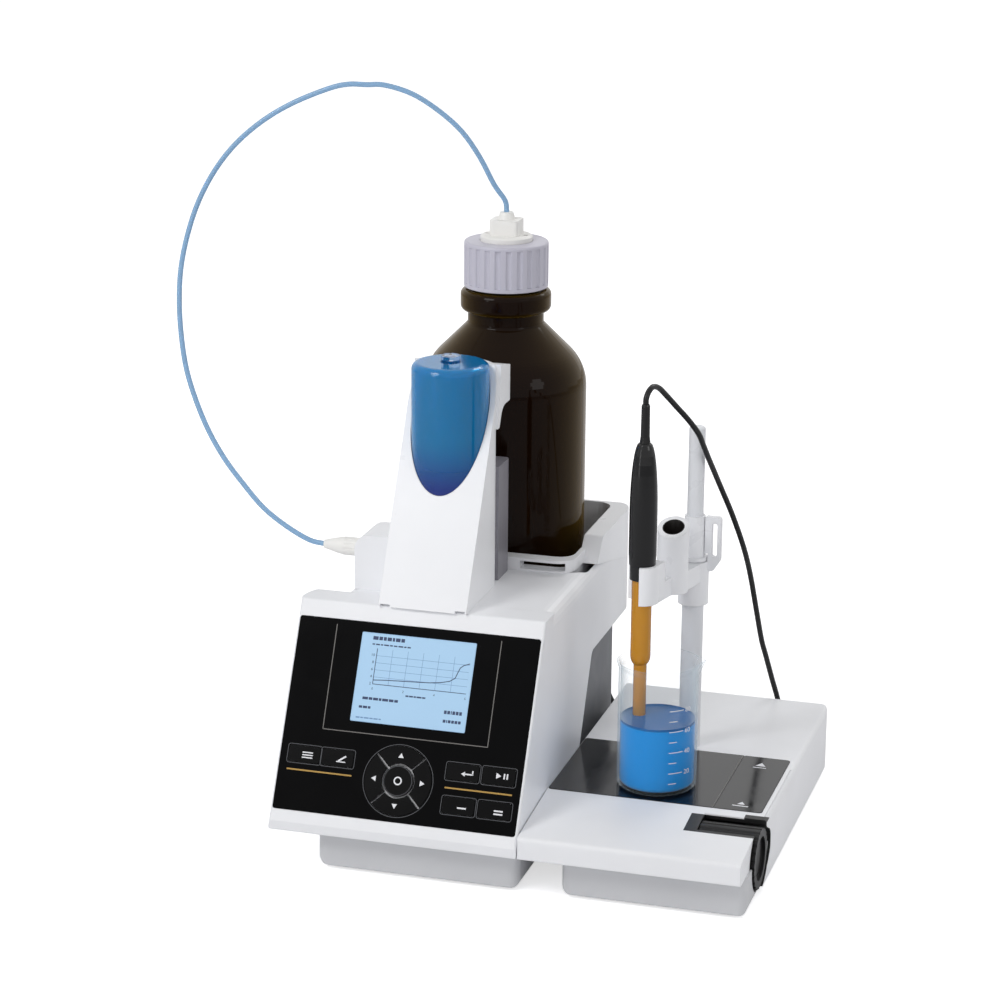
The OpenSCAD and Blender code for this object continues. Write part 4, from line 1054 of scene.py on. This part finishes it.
# %% [markdown]
# ## Contacts at the back
#
# Each socket of the rear panel has its metal inside: sprung sleeves in the two 4 mm sockets
# and the round jacks, and a tongue in the square one. The sleeves are
# turned, with a hole that is inset and pushed in.

# %% Contacts
BACK_Y = 258.0


def sleeve(name, x, z, outer, inner, y_front, depth):
    start()
    bpy.ops.mesh.primitive_cylinder_add(vertices=40, radius=outer * MM, depth=depth * MM,
                                        location=at(x, y_front - depth / 2, z),
                                        rotation=(math.radians(90), 0, 0))
    bpy.ops.object.transform_apply(location=False, rotation=True, scale=False)
    pick(lambda place, normal: normal.y > 0.9)
    bpy.ops.mesh.inset(thickness=(outer - inner) * MM)
    bpy.ops.mesh.extrude_region_move(TRANSFORM_OT_translate={"value": (0, -(depth - 1) * MM, 0)})
    return finish(name, brass_contact, "root", "steel", smooth=40)


for i, x in enumerate((-72, -56)):
    sleeve("socket_sleeve_%d" % (i + 1), x, 52, 2.03, 1.5, BACK_Y + 0.6, 11)
sleeve("jack_pin", -111, 52, 0.9, 0.4, BACK_Y - 1.5, 6)
sleeve("electrode_socket_pin", -30, 60, 1.3, 0.7, BACK_Y + 2.0, 6)
start()
bpy.ops.mesh.primitive_cube_add(size=1, location=at(-92, BACK_Y - 6.5, 52))
bpy.context.object.scale = (5.6 * MM, 8 * MM, 2.2 * MM)
bpy.ops.object.transform_apply(location=False, rotation=False, scale=True)
bpy.ops.object.mode_set(mode="EDIT")
bpy.ops.mesh.select_all(action="SELECT")
bpy.ops.mesh.bevel(offset=0.3 * MM, segments=2)
finish("data_socket_tongue", brass_contact, "root", "steel", smooth=40)
print("contacts fitted")

# %% [markdown]
# ## Floor and light
#
# A plain white floor, a large round lamp from the upper left, weaker round ones from the
# right and from behind, a narrow upright lamp at the front left and an even sky give the
# flat, friendly light of a catalogue. Round lamps leave soft oval
# highlights on the bottle. Camera, glossy and transmitted rays see white beyond the floor,
# so glass shows a clean background, and the floor adds a little of its own white for the
# camera alone, so that it runs out into the background and still keeps the shadow.

# %% Floor and light
SKY = 0.48
world = bpy.data.worlds.new("white studio")
bpy.context.scene.world = world
world.use_nodes = True
sky = world.node_tree
path_kind = add(sky, "ShaderNodeLightPath")
seen = maths(sky, "MAXIMUM", path_kind.outputs["Is Camera Ray"], path_kind.outputs["Is Glossy Ray"])
seen = maths(sky, "MAXIMUM", seen, path_kind.outputs["Is Transmission Ray"])
strength = add(sky, "ShaderNodeMapRange", {"Value": seen, "To Min": SKY, "To Max": 1.0})
sky.links.new(strength.outputs["Result"], sky.nodes["Background"].inputs["Strength"])
sky.nodes["Background"].inputs["Color"].default_value = (1, 1, 1, 1)


def soft_lamp(name, place, target, size, power, height=None):
    lamp_data = bpy.data.lights.new(name, "AREA")
    lamp_data.shape = "RECTANGLE" if height else "DISK"
    lamp_data.energy = power
    lamp_data.size = size
    if height:
        lamp_data.size_y = height
    lamp = bpy.data.objects.new(name, lamp_data)
    bpy.context.collection.objects.link(lamp)
    lamp.location = place
    lamp.rotation_mode = "QUATERNION"
    lamp.rotation_quaternion = (Vector(target) - Vector(place)).to_track_quat("-Z", "Y")
    return lamp


soft_lamp("key lamp", (-1.0, -1.3, 1.7), (0, 0, 0.15), 0.9, 15.5)
soft_lamp("fill lamp", (1.6, -0.7, 1.0), (0, 0, 0.15), 0.7, 3)
soft_lamp("back lamp", (0.5, 1.4, 1.5), (0, 0, 0.2), 0.8, 7)
soft_lamp("strip lamp", (-1.0, -1.5, 0.45), (0, 0, 0.25), 0.16, 2.2, height=1.1)

bpy.ops.object.select_all(action="DESELECT")
bpy.ops.mesh.primitive_plane_add(size=12, location=(0, 0, -0.0002))
floor = bpy.context.object
floor.name = "floor"
floor_white, tree, shader = recipe("white floor", Base_Color=colour("#f4f4f6"), Roughness=0.9)
path_kind = add(tree, "ShaderNodeLightPath")
glow = add(tree, "ShaderNodeMapRange", {"Value": path_kind.outputs["Is Camera Ray"], "To Max": 0.6})
tree.links.new(glow.outputs["Result"], shader.inputs["Emission Strength"])
shader.inputs["Emission Color"].default_value = (1, 1, 1, 1)
floor.data.materials.append(floor_white)

bpy.context.scene.view_settings.view_transform = "Standard"
